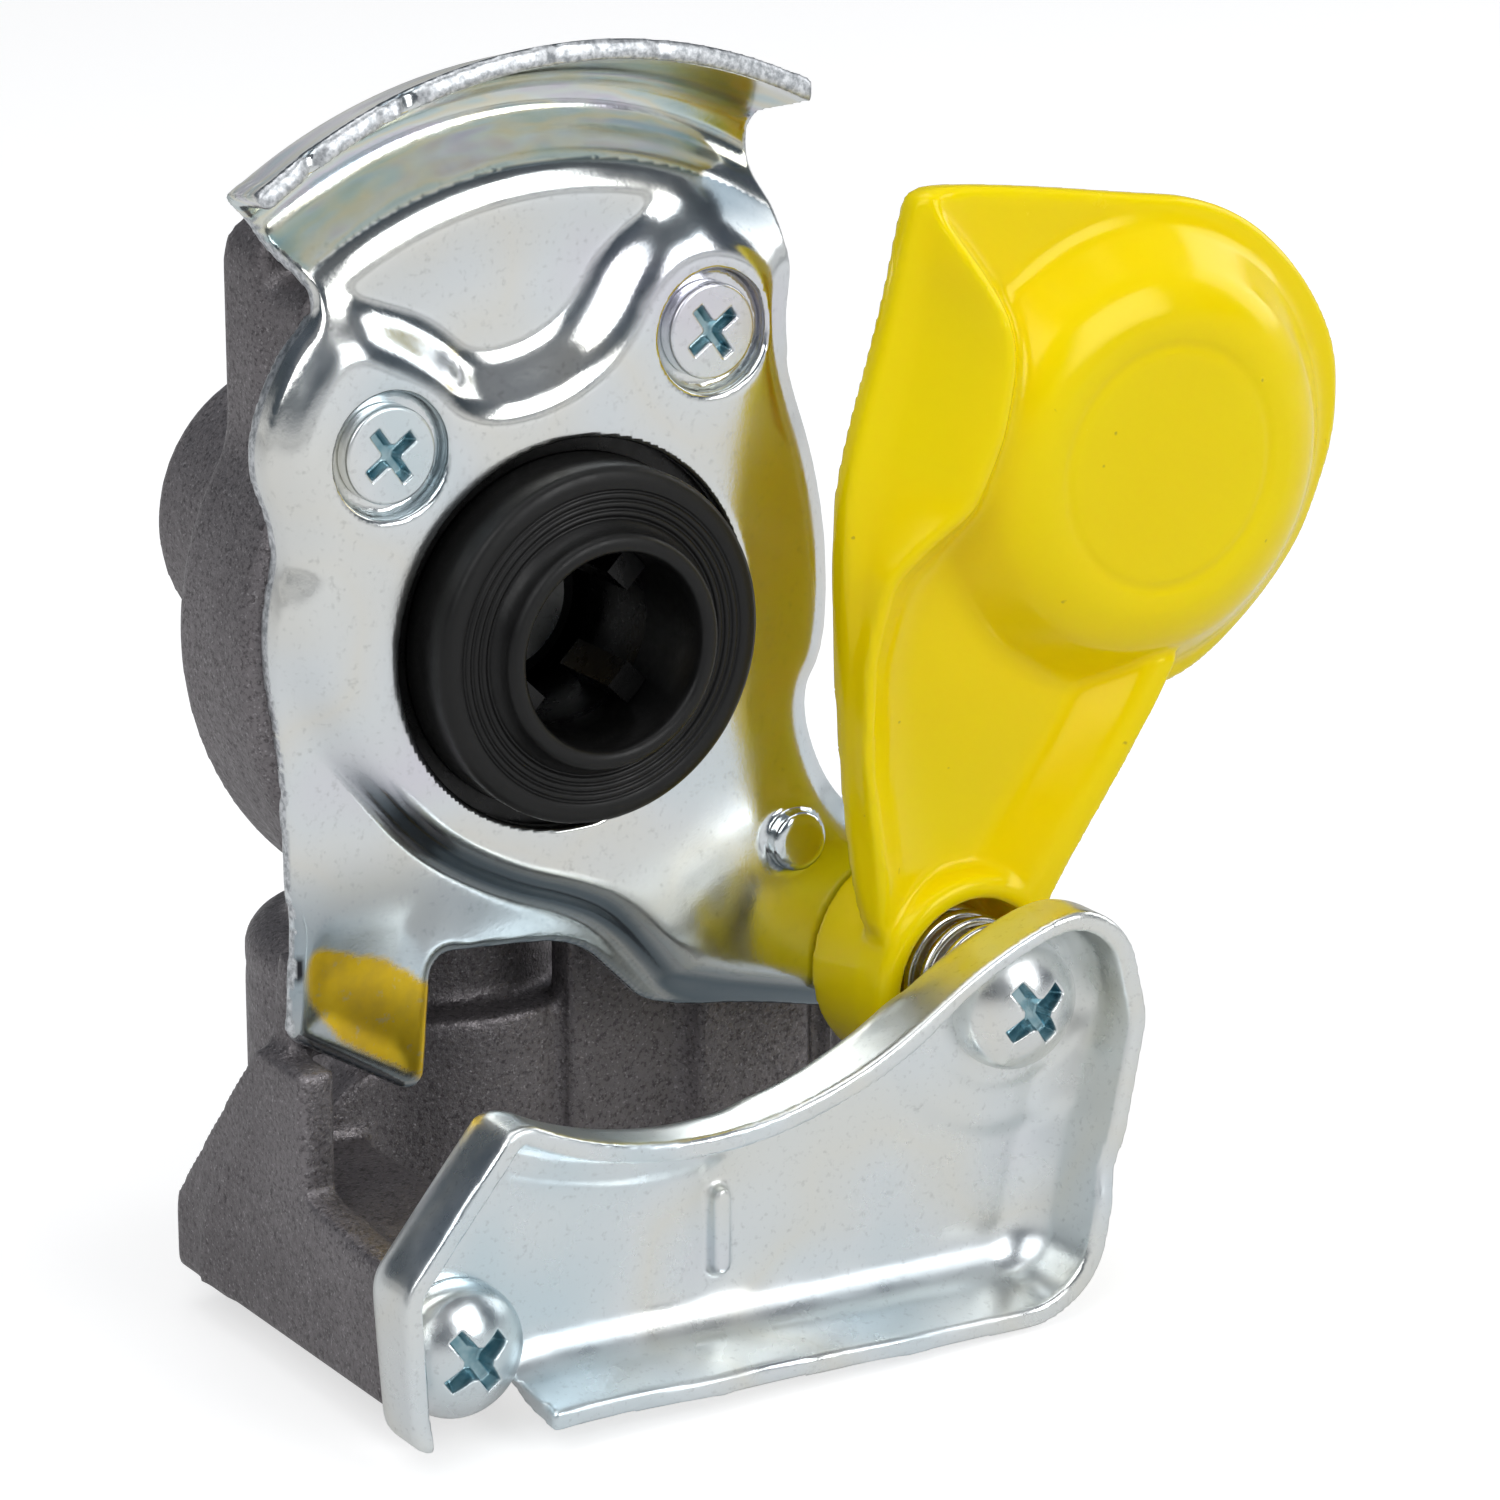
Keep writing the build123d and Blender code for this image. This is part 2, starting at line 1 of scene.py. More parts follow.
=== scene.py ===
import bpy
import bmesh
import math
import numpy as np
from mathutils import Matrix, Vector, noise


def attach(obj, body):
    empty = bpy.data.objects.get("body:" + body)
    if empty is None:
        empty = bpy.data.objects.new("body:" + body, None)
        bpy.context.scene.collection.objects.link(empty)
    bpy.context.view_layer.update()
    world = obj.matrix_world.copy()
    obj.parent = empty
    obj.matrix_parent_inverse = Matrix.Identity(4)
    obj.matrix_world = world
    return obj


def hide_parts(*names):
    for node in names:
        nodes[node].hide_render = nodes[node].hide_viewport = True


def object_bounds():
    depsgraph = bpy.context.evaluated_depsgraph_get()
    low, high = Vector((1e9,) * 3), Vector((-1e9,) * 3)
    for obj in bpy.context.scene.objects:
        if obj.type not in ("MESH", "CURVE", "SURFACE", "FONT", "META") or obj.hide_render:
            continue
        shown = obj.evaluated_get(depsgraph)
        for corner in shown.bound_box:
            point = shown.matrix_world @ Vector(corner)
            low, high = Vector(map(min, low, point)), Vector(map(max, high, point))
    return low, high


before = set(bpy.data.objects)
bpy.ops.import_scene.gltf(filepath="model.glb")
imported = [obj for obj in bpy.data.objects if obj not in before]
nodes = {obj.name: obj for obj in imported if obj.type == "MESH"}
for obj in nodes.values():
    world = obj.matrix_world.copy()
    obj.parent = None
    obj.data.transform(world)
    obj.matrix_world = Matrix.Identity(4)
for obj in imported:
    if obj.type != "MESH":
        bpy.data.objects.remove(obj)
cad_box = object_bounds()

# The faces are drawn lying on their back, in millimetres, as in the CAD source:
# x right, y up, z towards the viewer, the seal's axis at x = y = 0, the pad's front at z = 0.
PORT_DEPTH = 30.4
SEAL_HEIGHT = 66.0
PIVOT = (37.5, -38.2)
BRACKET_SCREW = (-24.3, -60.3)
LEFT_SCREW = (-19.2, 19.9)
RIGHT_SCREW = (15.4, 27.1)
DETENT = (24.1, -24.3)
OPEN_ANGLE = 65.0
SHEET_THICKNESS = 2.0


def stand(x, y, z):
    """A lying point in millimetres as a point of the row frame in metres."""
    return (x / 1000, (-PORT_DEPTH - z) / 1000, (SEAL_HEIGHT + y) / 1000)


# Mesh helpers


def new_object(name, mesh, body, slot, *replaced):
    obj = bpy.data.objects.new(name, mesh)
    bpy.context.scene.collection.objects.link(obj)
    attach(obj, body)
    if replaced:
        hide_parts(*replaced)
    return obj


def from_lists(name, verts, faces, smooth=True):
    mesh = bpy.data.meshes.new(name)
    mesh.from_pydata(verts, [], faces)
    mesh.validate()
    mesh.update()
    if smooth:
        mesh.shade_smooth()
    return mesh


def lying(mesh):
    """The vertices of a mesh as lying points."""
    co = np.zeros(len(mesh.vertices) * 3)
    mesh.vertices.foreach_get("co", co)
    co = co.reshape(-1, 3) * 1000
    return np.stack([co[:, 0], co[:, 2] - SEAL_HEIGHT, -co[:, 1] - PORT_DEPTH], 1)


def set_lying(mesh, p):
    co = np.stack([p[:, 0], -PORT_DEPTH - p[:, 2], SEAL_HEIGHT + p[:, 1]], 1) / 1000
    mesh.vertices.foreach_set("co", co.astype(np.float32).ravel())
    mesh.update()


def normals(mesh):
    """The vertices' normals in the row frame."""
    n = np.zeros(len(mesh.vertices) * 3, np.float32)
    mesh.vertex_normals.foreach_get("vector", n)
    return n.reshape(-1, 3)


def sample(plan, g, p):
    """A plan field's value at each point, from the nearest grid column."""
    last = np.array(g.x2.shape) - 1
    i = np.clip(np.rint((p[:, :2] - g.low[:2]) / g.step).astype(int), 0, last)
    return plan[i[:, 0], i[:, 1], 0]


def paint(mesh, name, values):
    """Keeps one number for each vertex, for the material to read."""
    layer = mesh.attributes.new(name, "FLOAT", "POINT")
    layer.data.foreach_set("value", np.asarray(values, np.float32).ravel())


# Lines and fields


def ease(value, start, end):
    """0 up to start, 1 from end on, and a soft step between. End may lie below start."""
    t = np.clip((value - start) / (end - start), 0, 1)
    return t * t * (3 - 2 * t)


def hump(value, place, width):
    """1 at a place, falling off softly on both sides."""
    return np.exp(-((value - place) / width) ** 2)


def ripple(x, y, scale, seed=0.0):
    """Soft noise from -1 to 1 at plan points, one wave in about scale millimetres."""
    return np.array([noise.noise(Vector((a / scale, b / scale, seed))) for a, b in zip(x, y)])


def rounded(points, arc_step=0.6):
    """A closed line through corners (x, y, radius), its arcs split finely."""
    out = []
    n = len(points)
    for i in range(n):
        a, b, c = points[i - 1], points[i], points[(i + 1) % n]
        p = Vector((b[0], b[1]))
        u = (Vector((a[0], a[1])) - p).normalized()
        v = (Vector((c[0], c[1])) - p).normalized()
        r = b[2]
        if r <= 0:
            out.append((p.x, p.y))
            continue
        half = math.acos(max(-1, min(1, u.dot(v)))) / 2
        reach = r / math.tan(half)
        centre = p + (u + v).normalized() * (r / math.sin(half))
        s, e = p + u * reach - centre, p + v * reach - centre
        turn = s.angle_signed(e)
        k = max(2, int(abs(turn) * r / arc_step))
        a0 = math.atan2(s.y, s.x)
        for j in range(k + 1):
            t = a0 - turn * j / k
            out.append((centre.x + r * math.cos(t), centre.y + r * math.sin(t)))
    return np.array(out)


def flowing(points, rounds=4):
    """A closed smooth line that runs inside the corners it is given."""
    p = np.array(points, float)
    for _ in range(rounds):
        q = np.roll(p, -1, 0)
        p = np.stack([0.75 * p + 0.25 * q, 0.25 * p + 0.75 * q], 1).reshape(-1, 2)
    return p


def soften(points, radius, steps):
    """An open profile with its corners rounded, as a list of points."""
    out = [points[0]]
    for a, b, c in zip(points, points[1:], points[2:]):
        p = Vector(b)
        u, v = Vector(a) - p, Vector(c) - p
        r = min(radius, 0.45 * u.length, 0.45 * v.length)
        s, e = p + u.normalized() * r, p + v.normalized() * r
        for k in range(steps + 1):
            t = k / steps
            q = s * (1 - t) ** 2 + p * 2 * t * (1 - t) + e * t * t
            out.append((q.x, q.y))
    out.append(points[-1])
    return out


def signed_distance(poly, x, y):
    """Distance to a closed line, negative inside."""
    best = np.full(x.shape, 1e9)
    inside = np.zeros(x.shape, bool)
    for (ax, ay), (bx, by) in zip(poly, np.roll(poly, -1, 0)):
        dx, dy = bx - ax, by - ay
        length = dx * dx + dy * dy
        if length < 1e-12:
            continue
        t = np.clip(((x - ax) * dx + (y - ay) * dy) / length, 0, 1)
        best = np.minimum(best, (x - ax - t * dx) ** 2 + (y - ay - t * dy) ** 2)
        if ay != by:
            crosses = (ay > y) != (by > y)
            inside ^= crosses & (x < dx * (y - ay) / dy + ax)
    return np.where(inside, -1, 1) * np.sqrt(best)


def slab(value, low, high):
    """The layer between two values of a coordinate."""
    return np.maximum(low - value, value - high)


def past(v, z, low, high):
    """Distance past the slope that rises through two (v, z) points, towards +v."""
    a, b = high[1] - low[1], low[0] - high[0]
    return ((v - low[0]) * a + (z - low[1]) * b) / np.hypot(a, b)


def both(a, b, r):
    """What lies in two fields, their common edge rounded to radius r."""
    u, v = np.maximum(a + r, 0), np.maximum(b + r, 0)
    return np.minimum(np.maximum(a, b), -r) + np.sqrt(u * u + v * v)


def either(a, b, r):
    """What lies in one of two fields, the corner between them filled to radius r."""
    u, v = np.maximum(r - a, 0), np.maximum(r - b, 0)
    return np.maximum(np.minimum(a, b), r) - np.sqrt(u * u + v * v)


def skin(field, thickness):
    """The layer of that thickness below a field's surface."""
    return np.abs(field + thickness / 2) - thickness / 2


class Space:
    """A fine grid of points in a lying box, on which the pieces are drawn as distance fields."""

    def __init__(self, low, high, step):
        self.step, self.low = step, np.array(low, float)
        axes = [np.arange(a, b + step, step) for a, b in zip(low, high)]
        self.x2, self.y2 = np.meshgrid(axes[0], axes[1], indexing="ij")
        self.x, self.y = self.x2[:, :, None], self.y2[:, :, None]
        self.levels = axes[2]
        self.z = axes[2][None, None, :]

    def outline(self, poly):
        """Distance to an outline drawn in plan."""
        return signed_distance(poly, self.x2, self.y2)[:, :, None]

    def profile(self, poly):
        """Distance to an outline drawn in the y-z plane."""
        y, z = np.meshgrid(self.y[0, :, 0], self.levels, indexing="ij")
        return signed_distance(np.array(poly, float), y, z)[None]

    def around(self, at):
        """Distance from an upright line through a plan point."""
        return np.hypot(self.x - at[0], self.y - at[1])

    def from_port(self):
        """Distance from the port's axis."""
        return np.hypot(self.x, self.z + PORT_DEPTH)

    def ripple(self, scale, seed):
        waves = ripple(self.x2.ravel(), self.y2.ravel(), scale, seed)
        return waves.reshape(self.x2.shape)[:, :, None]

    def mesh(self, name, field):
        """The surface where the field is 0: one vertex in each cell that it crosses."""
        f = np.broadcast_to(field, self.x2.shape + (len(self.levels),)).astype(np.float32)
        inside = f < 0
        n = f.shape
        corners = [inside[i:n[0] - 1 + i, j:n[1] - 1 + j, k:n[2] - 1 + k]
                   for i in (0, 1) for j in (0, 1) for k in (0, 1)]
        mixed = np.logical_or.reduce(corners) & ~np.logical_and.reduce(corners)
        cells = np.argwhere(mixed)
        index = np.full(mixed.shape, -1, np.int64)
        index[mixed] = np.arange(len(cells))
        total, count = np.zeros((len(cells), 3)), np.zeros(len(cells))
        unit = np.eye(3, dtype=int)
        for axis in range(3):
            u, v = unit[(axis + 1) % 3], unit[(axis + 2) % 3]
            for shift in (0 * u, u, v, u + v):
                a = cells + shift
                b = a + unit[axis]
                fa, fb = f[tuple(a.T)], f[tuple(b.T)]
                cross = (fa < 0) != (fb < 0)
                t = np.where(cross, fa / np.where(cross, fa - fb, 1), 0)
                total[cross] += (shift + t[:, None] * unit[axis])[cross]
                count[cross] += 1
        points = (cells + total / count[:, None]) * self.step + self.low
        quads = []
        for axis in range(3):
            a = np.take(inside, range(n[axis] - 1), axis)
            b = np.take(inside, range(1, n[axis]), axis)
            edge = np.argwhere(a != b)
            for side in ((axis + 1) % 3, (axis + 2) % 3):
                edge = edge[(edge[:, side] > 0) & (edge[:, side] < n[side] - 1)]
            u, v = unit[(axis + 1) % 3], unit[(axis + 2) % 3]
            q = np.stack([index[tuple((edge - s).T)] for s in (0 * u, u, u + v, v)], 1)
            turned = ~a[tuple(edge.T)]
            q[turned] = q[turned][:, ::-1]
            quads.append(q)
        quads = np.concatenate(quads)
        mesh = bpy.data.meshes.new(name)
        mesh.vertices.add(len(points))
        mesh.loops.add(len(quads) * 4)
        mesh.polygons.add(len(quads))
        mesh.loops.foreach_set("vertex_index", quads.ravel().astype(np.int32))
        mesh.polygons.foreach_set("loop_start", (np.arange(len(quads)) * 4).astype(np.int32))
        set_lying(mesh, points)
        mesh.validate()
        mesh.update(calc_edges=True)
        mesh.shade_smooth()
        return mesh


def lathe(name, profile, at, steps):
    """A closed body turned about an upright lying line, from (radius, height) corners in order."""
    verts, faces = [], []
    n = len(profile)
    for k in range(steps):
        a = 2 * math.pi * k / steps
        for r, z in profile:
            verts.append(stand(at[0] + r * math.cos(a), at[1] + r * math.sin(a), z))
    for k in range(steps):
        a, b = k * n, (k + 1) % steps * n
        for i in range(n - 1):
            faces.append((a + i, b + i, b + i + 1, a + i + 1))
    mesh = from_lists(name, verts, faces)
    bm = bmesh.new()
    bm.from_mesh(mesh)
    bmesh.ops.remove_doubles(bm, verts=bm.verts, dist=1e-7)
    bmesh.ops.recalc_face_normals(bm, faces=bm.faces)
    bm.to_mesh(mesh)
    bm.free()
    mesh.shade_smooth()
    return mesh


# Materials: noise scales are in waves per metre, bump distances in metres


def grey(value):
    return (value, value, value)


def add_node(tree, kind, inputs=None, **settings):
    """A node with its settings; an input is another node's output or a value."""
    node = tree.nodes.new(kind)
    for key, value in settings.items():
        setattr(node, key, value)
    for key, value in (inputs or {}).items():
        if isinstance(value, bpy.types.NodeSocket):
            tree.links.new(value, node.inputs[key])
        else:
            node.inputs[key].default_value = value
    return node


def add_ramp(tree, value, stops):
    """The colour of a value, from (place, colour) stops."""
    node = add_node(tree, "ShaderNodeValToRGB", {"Fac": value})
    elements = node.color_ramp.elements
    while len(elements) < len(stops):
        elements.new(0.5)
    for element, (place, colour) in zip(elements, stops):
        element.position = place
        element.color = (*colour, 1)
    return node.outputs["Color"]


class Nodes:
    """A material's node tree with a Principled shader, built by short calls."""

    def __init__(self, name, **values):
        self.material = bpy.data.materials.new(name)
        self.material.use_nodes = True
        self.tree = self.material.node_tree
        self.shader = self.tree.nodes["Principled BSDF"]
        for key, value in values.items():
            self.shader.inputs[key.replace("_", " ")].default_value = value

    def add(self, kind, inputs=None, **settings):
        return add_node(self.tree, kind, inputs, **settings)

    def noise(self, scale, detail=3.0, rough=0.5):
        point = self.add("ShaderNodeTexCoord").outputs["Object"]
        inputs = {"Scale": scale, "Detail": detail, "Roughness": rough, "Vector": point}
        return self.add("ShaderNodeTexNoise", inputs).outputs["Fac"]

    def ramp(self, value, *stops):
        return add_ramp(self.tree, value, stops)

    def math(self, operation, a, b, c=0.0):
        return self.add("ShaderNodeMath", {0: a, 1: b, 2: c}, operation=operation).outputs[0]

    def span(self, value, low, high, out_low=0.0, out_high=1.0):
        """A value's range carried over to another one."""
        inputs = {"Value": value, "From Min": low, "From Max": high, "To Min": out_low, "To Max": out_high}
        return self.add("ShaderNodeMapRange", inputs).outputs["Result"]

    def mix(self, factor, a, b, blend="MIX"):
        """Colour a, and colour b where the factor is 1."""
        a, b = [c if isinstance(c, bpy.types.NodeSocket) else (*c, 1) for c in (a, b)]
        node = self.add("ShaderNodeMix", {0: factor, 6: a, 7: b}, data_type="RGBA", blend_type=blend)
        return node.outputs[2]

    def bump(self, height, distance, under=None):
        """A bumped normal, over another one where that is given."""
        inputs = {"Height": height, "Distance": distance, "Strength": 1.0}
        if under is not None:
            inputs["Normal"] = under
        return self.add("ShaderNodeBump", inputs).outputs["Normal"]

    def painted(self, name):
        """The number that paint() kept on the mesh."""
        return self.add("ShaderNodeAttribute", attribute_name=name).outputs["Fac"]

    def set(self, key, value):
        self.tree.links.new(value, self.shader.inputs[key])


STREAKS = ((0.12, (0.34, 0.47, 0.50)), (0.32, (0.52, 0.64, 0.64)), (0.46, (0.70, 0.68, 0.54)),
           (0.58, (0.66, 0.71, 0.69)), (0.70, (0.62, 0.60, 0.68)), (0.86, (0.44, 0.57, 0.65)))
# Painted reflection: the yellows of the cover as the tab mirrors it
PAINTED_COVER_REFLECTION = ((0.30, (0.66, 0.43, 0.05)), (0.55, (0.84, 0.56, 0.03)), (0.75, (0.90, 0.64, 0.05)))
SHEARED = ((0.35, (0.34, 0.36, 0.38)), (0.62, (0.72, 0.74, 0.76)))
# Painted shade: darker teal inside the screws' cross recesses
RECESS_SHADE = ((0.3, (0.20, 0.36, 0.42)), (0.7, (0.42, 0.56, 0.60)))
# Painted dark reflection: the dark blue-grey that the plate's bends take in place of the dark surroundings they
# mirror
PAINTED_BEND_REFLECTION = (0.08, 0.125, 0.16)
BLACK_MARK = (0.03, 0.03, 0.035)


def plate_marks(m, tint, gloss):
    """What is painted on the plate: streaks, painted dark reflection on the bends and the apron, a painted yellow
    reflection of the cover on the tab, a mark, sheared edges.
    """
    tint = m.mix(m.math("MULTIPLY", m.painted("gutter"), 0.85), tint, m.ramp(m.painted("streak"), *STREAKS))
    # Painted dark reflection on the bends and the lower apron
    tint = m.mix(m.math("MULTIPLY", m.painted("bend"), 0.9), tint, PAINTED_BEND_REFLECTION)
    # Painted reflection: the cover's yellow laid on the tab's patch, broken up by noise
    patch_breakup = m.span(m.span(m.noise(420.0, 4.0, 0.7), 0.30, 0.42), 0.0, 1.0, 0.55, 1.0)
    cover_reflection = m.ramp(m.noise(160.0, 4.0, 0.6), *PAINTED_COVER_REFLECTION)
    tint = m.mix(m.math("MULTIPLY", m.painted("patch"), patch_breakup), tint, cover_reflection)
    tint = m.mix(m.painted("mark"), tint, BLACK_MARK)
    sheared = m.painted("cut")
    tint = m.mix(sheared, tint, m.ramp(m.noise(1500.0, 2.0, 0.7), *SHEARED))
    dull = m.math("MAXIMUM", sheared, m.math("MULTIPLY", m.painted("patch"), 0.5))
    return tint, m.span(dull, 0.0, 1.0, gloss, 0.42)


def zinc(name, base, blue, speckle, wave, rough, painted=False, recess=False):
    """Bright passivated zinc: bluish silver with faint rainbow patches, fine pits and soft waves.

    Speckle and wave are the depths of pits and waves in millimetres."""
    m = Nodes(name, Metallic=1.0)
    red, green, violet = base
    yellowish = (red * 1.03, green * 0.985, violet * 0.92)
    pinkish = (red * 0.99, green * 0.94, violet)
    tint = m.ramp(m.noise(34.0, 2.0), (0.30, blue), (0.44, base), (0.52, yellowish), (0.60, base), (0.70, pinkish))
    dirt = m.span(m.noise(1500.0, 2.0, 0.6), 0.58, 0.80, 1.0, 0.80)
    tint = m.mix(1.0, tint, m.ramp(dirt, (0.0, grey(0.0)), (1.0, grey(1.0))), "MULTIPLY")
    gloss = m.span(m.noise(120.0, 4.0, 0.6), 0.3, 0.7, rough * 0.7, rough * 1.5)
    waves = m.bump(m.noise(75.0, 2.0), wave / 1000)
    if painted:
        tint, gloss = plate_marks(m, tint, gloss)
    # Painted shade: the cross recess darkened to teal
    if recess:
        tint = m.mix(m.painted("recess"), tint, m.ramp(m.noise(700.0, 2.0), *RECESS_SHADE))
    m.set("Base Color", tint)
    m.set("Roughness", gloss)
    m.set("Normal", m.bump(m.noise(2600.0, 2.0, 0.6), speckle / 1000, waves))
    return m.material


def cast(name):
    """Shot-blasted aluminium casting: warm dark grey, fine sparkling grain, faint stains."""
    m = Nodes(name, Metallic=0.7)
    stain = m.ramp(m.noise(45.0, 5.0, 0.6), (0.3, (0.165, 0.152, 0.158)), (0.7, (0.245, 0.228, 0.236)))
    dark = m.span(m.noise(2100.0, 3.0, 0.7), 0.36, 0.50, 0.75, 0.0)
    sparkle = m.span(m.noise(3000.0, 1.0), 0.62, 0.76, 0.0, 0.55)
    m.set("Base Color", m.mix(sparkle, m.mix(dark, stain, (0.07, 0.063, 0.066)), (0.50, 0.48, 0.49)))
    m.set("Roughness", m.span(m.noise(1300.0, 2.0, 0.6), 0.3, 0.7, 0.36, 0.60))
    coarse = m.bump(m.noise(1100.0, 3.0, 0.65), 0.00016)
    m.set("Normal", m.bump(m.noise(2600.0, 2.0, 0.6), 0.00008, coarse))
    return m.material


def plastic(name):
    """Glossy yellow moulding with faint flow lines, a few scuffs and dark specks."""
    m = Nodes(name, Specular_IOR_Level=0.42, Specular_Tint=(1.0, 0.93, 0.42, 1.0), Subsurface_Weight=0.30,
              Subsurface_Scale=0.008, Subsurface_Radius=(1.0, 0.7, 0.1))
    colour = m.ramp(m.noise(25.0), (0.3, (0.95, 0.67, 0.0)), (0.7, (0.98, 0.73, 0.0)))
    specks = m.span(m.noise(520.0, 2.0), 0.755, 0.79, 0.0, 0.5)
    m.set("Base Color", m.mix(specks, colour, (0.30, 0.20, 0.03)))
    m.set("Roughness", m.span(m.noise(260.0, 4.0, 0.65), 0.35, 0.8, 0.13, 0.30))
    flow = m.bump(m.noise(60.0, 2.0), 0.00010)
    m.set("Normal", m.bump(m.noise(1500.0, 2.0, 0.6), 0.000005, flow))
    return m.material


def rubber(name, tone, rough):
    """Black rubber or plastic with a little dust."""
    m = Nodes(name, Specular_IOR_Level=0.3)
    dust = m.span(m.noise(300.0, 5.0, 0.65), 0.55, 0.85, 0.0, 0.25)
    m.set("Base Color", m.mix(dust, grey(tone), grey(tone * 2 + 0.004)))
    m.set("Roughness", m.span(m.noise(500.0, 3.0, 0.6), 0.3, 0.7, rough - 0.07, rough + 0.1))
    m.set("Normal", m.bump(m.noise(1800.0, 2.0), 0.00002))
    return m.material


def metal(name, dark, light, cloud, gloss, rough, grain, depth):
    """Plain metal for wire and turned pieces. Cloud, gloss and grain are noises (scale, detail)."""
    m = Nodes(name, Metallic=1.0)
    m.set("Base Color", m.ramp(m.noise(*cloud), (0.3, dark), (0.7, light)))
    m.set("Roughness", m.span(m.noise(*gloss), 0.3, 0.7, *rough))
    m.set("Normal", m.bump(m.noise(*grain), depth))
    return m.material


plate_zinc = zinc("bright_zinc", (0.75, 0.785, 0.80), (0.62, 0.73, 0.78), 0.006, 0.08, 0.15, painted=True)
bracket_zinc = zinc("mottled_zinc", (0.76, 0.805, 0.825), (0.63, 0.745, 0.80), 0.009, 0.09, 0.28)
screw_zinc = zinc("screw_zinc", (0.76, 0.795, 0.81), (0.62, 0.735, 0.775), 0.008, 0.04, 0.26, recess=True)
cast_metal = cast("blasted_casting")
yellow = plastic("yellow_moulding")
black_rubber = rubber("black_rubber", 0.006, 0.40)
black_plastic = rubber("black_plastic", 0.005, 0.28)
spring_wire = metal("spring_wire", (0.62, 0.62, 0.62), (0.78, 0.77, 0.74),
                    (200.0, 2.0), (900.0, 2.0), (0.14, 0.24), (2500.0, 1.0), 0.000008)
brass = metal("stem_brass", (0.60, 0.44, 0.17), (0.72, 0.55, 0.25),
              (150.0, 3.0), (800.0, 3.0), (0.25, 0.4), (1800.0, 3.0), 0.00001)


def dress(obj, material):
    obj.data.materials.clear()
    obj.data.materials.append(material)


def dress_node(name, material):
    """A carried-over CAD node takes its finish in its material slots."""
    obj = nodes[name]
    if not obj.material_slots:
        obj.data.materials.append(material)
    for s in obj.material_slots:
        s.link = "OBJECT"
        s.material = material


# Claw plate

UPPER_EDGE = [
    (-28.6, 12.0), (-32.4, 21.5), (-25.0, 34.6), (-14.0, 29.4), (-8.6, 24.2), (2.6, 27.0), (8.2, 37.2),
    (17.0, 39.0), (25.2, 33.6), (24.0, 25.0), (29.4, 9.5), (30.0, -6.0), (26.2, -11.5), (31.5, -24.0),
    (46.5, -31.0), (46.0, -48.0), (23.0, -41.8)]
PAD = flowing(UPPER_EDGE + [
    (12.4, -38.8), (9.3, -34.6), (5.0, -29.6), (0.5, -27.0), (-5.9, -24.6), (-12.1, -21.1), (-16.3, -17.7),
    (-21.0, -12.2), (-24.0, -8.0), (-27.2, -3.0), (-30.2, 3.0), (-29.8, 8.0)])
SHEET = flowing(UPPER_EDGE + [
    (10.6, -40.6), (6.9, -36.8), (2.2, -32.0), (-6.4, -31.0), (-14.0, -30.6), (-27.8, -24.0), (-28.4, -16.5),
    (-29.2, -8.0), (-30.4, 0.0), (-30.2, 6.0)])
NECK = rounded([
    (-22.9, 24.0, 0), (-23.4, 31.0, 3.0), (-25.3, 36.0, 5.0), (-28.0, 41.0, 6.0), (-33.4, 45.6, 2.0),
    (-31.4, 62.0, 0), (25.4, 62.0, 0), (26.0, 49.5, 1.5), (25.2, 44.0, 3.0), (25.2, 24.0, 0)])
TAB = rounded([
    (-27.4, -14.0, 0), (-29.0, -36.2, 1.8), (-14.6, -45.0, 1.8), (-13.2, -28.6, 0), (-8.0, -20.0, 0)])
PATCH = rounded([
    (-26.6, -27.2, 1.0), (-27.4, -31.6, 2.0), (-23.6, -37.4, 6.0), (-15.2, -42.6, 1.5), (-12.6, -42.6, 0),
    (-12.6, -34.0, 0), (-19.6, -29.6, 4.0)])
# The middle of the sheet from the neck through the gutter and round the lip's curl, as (radius, z)
LIP = [(30.0, -5.0), (36.5, -5.0), (41.4, -4.0), (43.8, -5.1)] + [
    (49.3 + 4.0 * math.cos(math.radians(a)), -6.6 + 4.0 * math.sin(math.radians(a)))
    for a in range(210, 346, 15)] + [(57.6, 8.8)]
LIP_START = 32.0
LIP_EDGE = (54.9, 1.35)
# Nicks and dents in the lip's edge: x, depth, width
NICKS = [(-27.2, 0.5, 1.0), (-17.0, 0.75, 1.3), (-19.6, 0.4, 0.8), (-1.5, 0.35, 1.2), (9.0, 0.2, 0.8)]
NECK_FRONT = -4.0
DIMPLE_RADIUS, DIMPLE_DEPTH = 5.9, 2.2
PIP_RADIUS, PIP_HEIGHT = 3.0, 1.9
SEAL_HOLE, PIVOT_HOLE = 18.8, 4.6
MARK = (-27.9, -29.4)


def lip_field(g, r):
    """The front of gutter and lip: their section in radius and z, turned about the seal's axis."""
    line = soften(LIP, 3.0, 8)
    radii = np.arange(28, 70, 0.1)
    across, up = np.meshgrid(radii, g.levels, indexing="ij")
    far = np.full(across.shape, 1e9)
    for (ar, az), (br, bz) in zip(line, line[1:]):
        dr, dz = br - ar, bz - az
        t = np.clip(((across - ar) * dr + (up - az) * dz) / (dr * dr + dz * dz), 0, 1)
        far = np.minimum(far, np.hypot(across - ar - t * dr, up - az - t * dz))
    height = np.interp(radii, [q[0] for q in line], [q[1] for q in line])
    far *= np.where(up > height[:, None], 1, -1)
    layers = [np.interp(r, radii, far[:, k]) for k in range(len(g.levels))]
    return np.concatenate(layers, 2) - SHEET_THICKNESS / 2


def past_lip(r, above):
    """Distance past the slanting cut of the lip's edge."""
    return (r - LIP_EDGE[0]) * 0.28 + above * 0.96


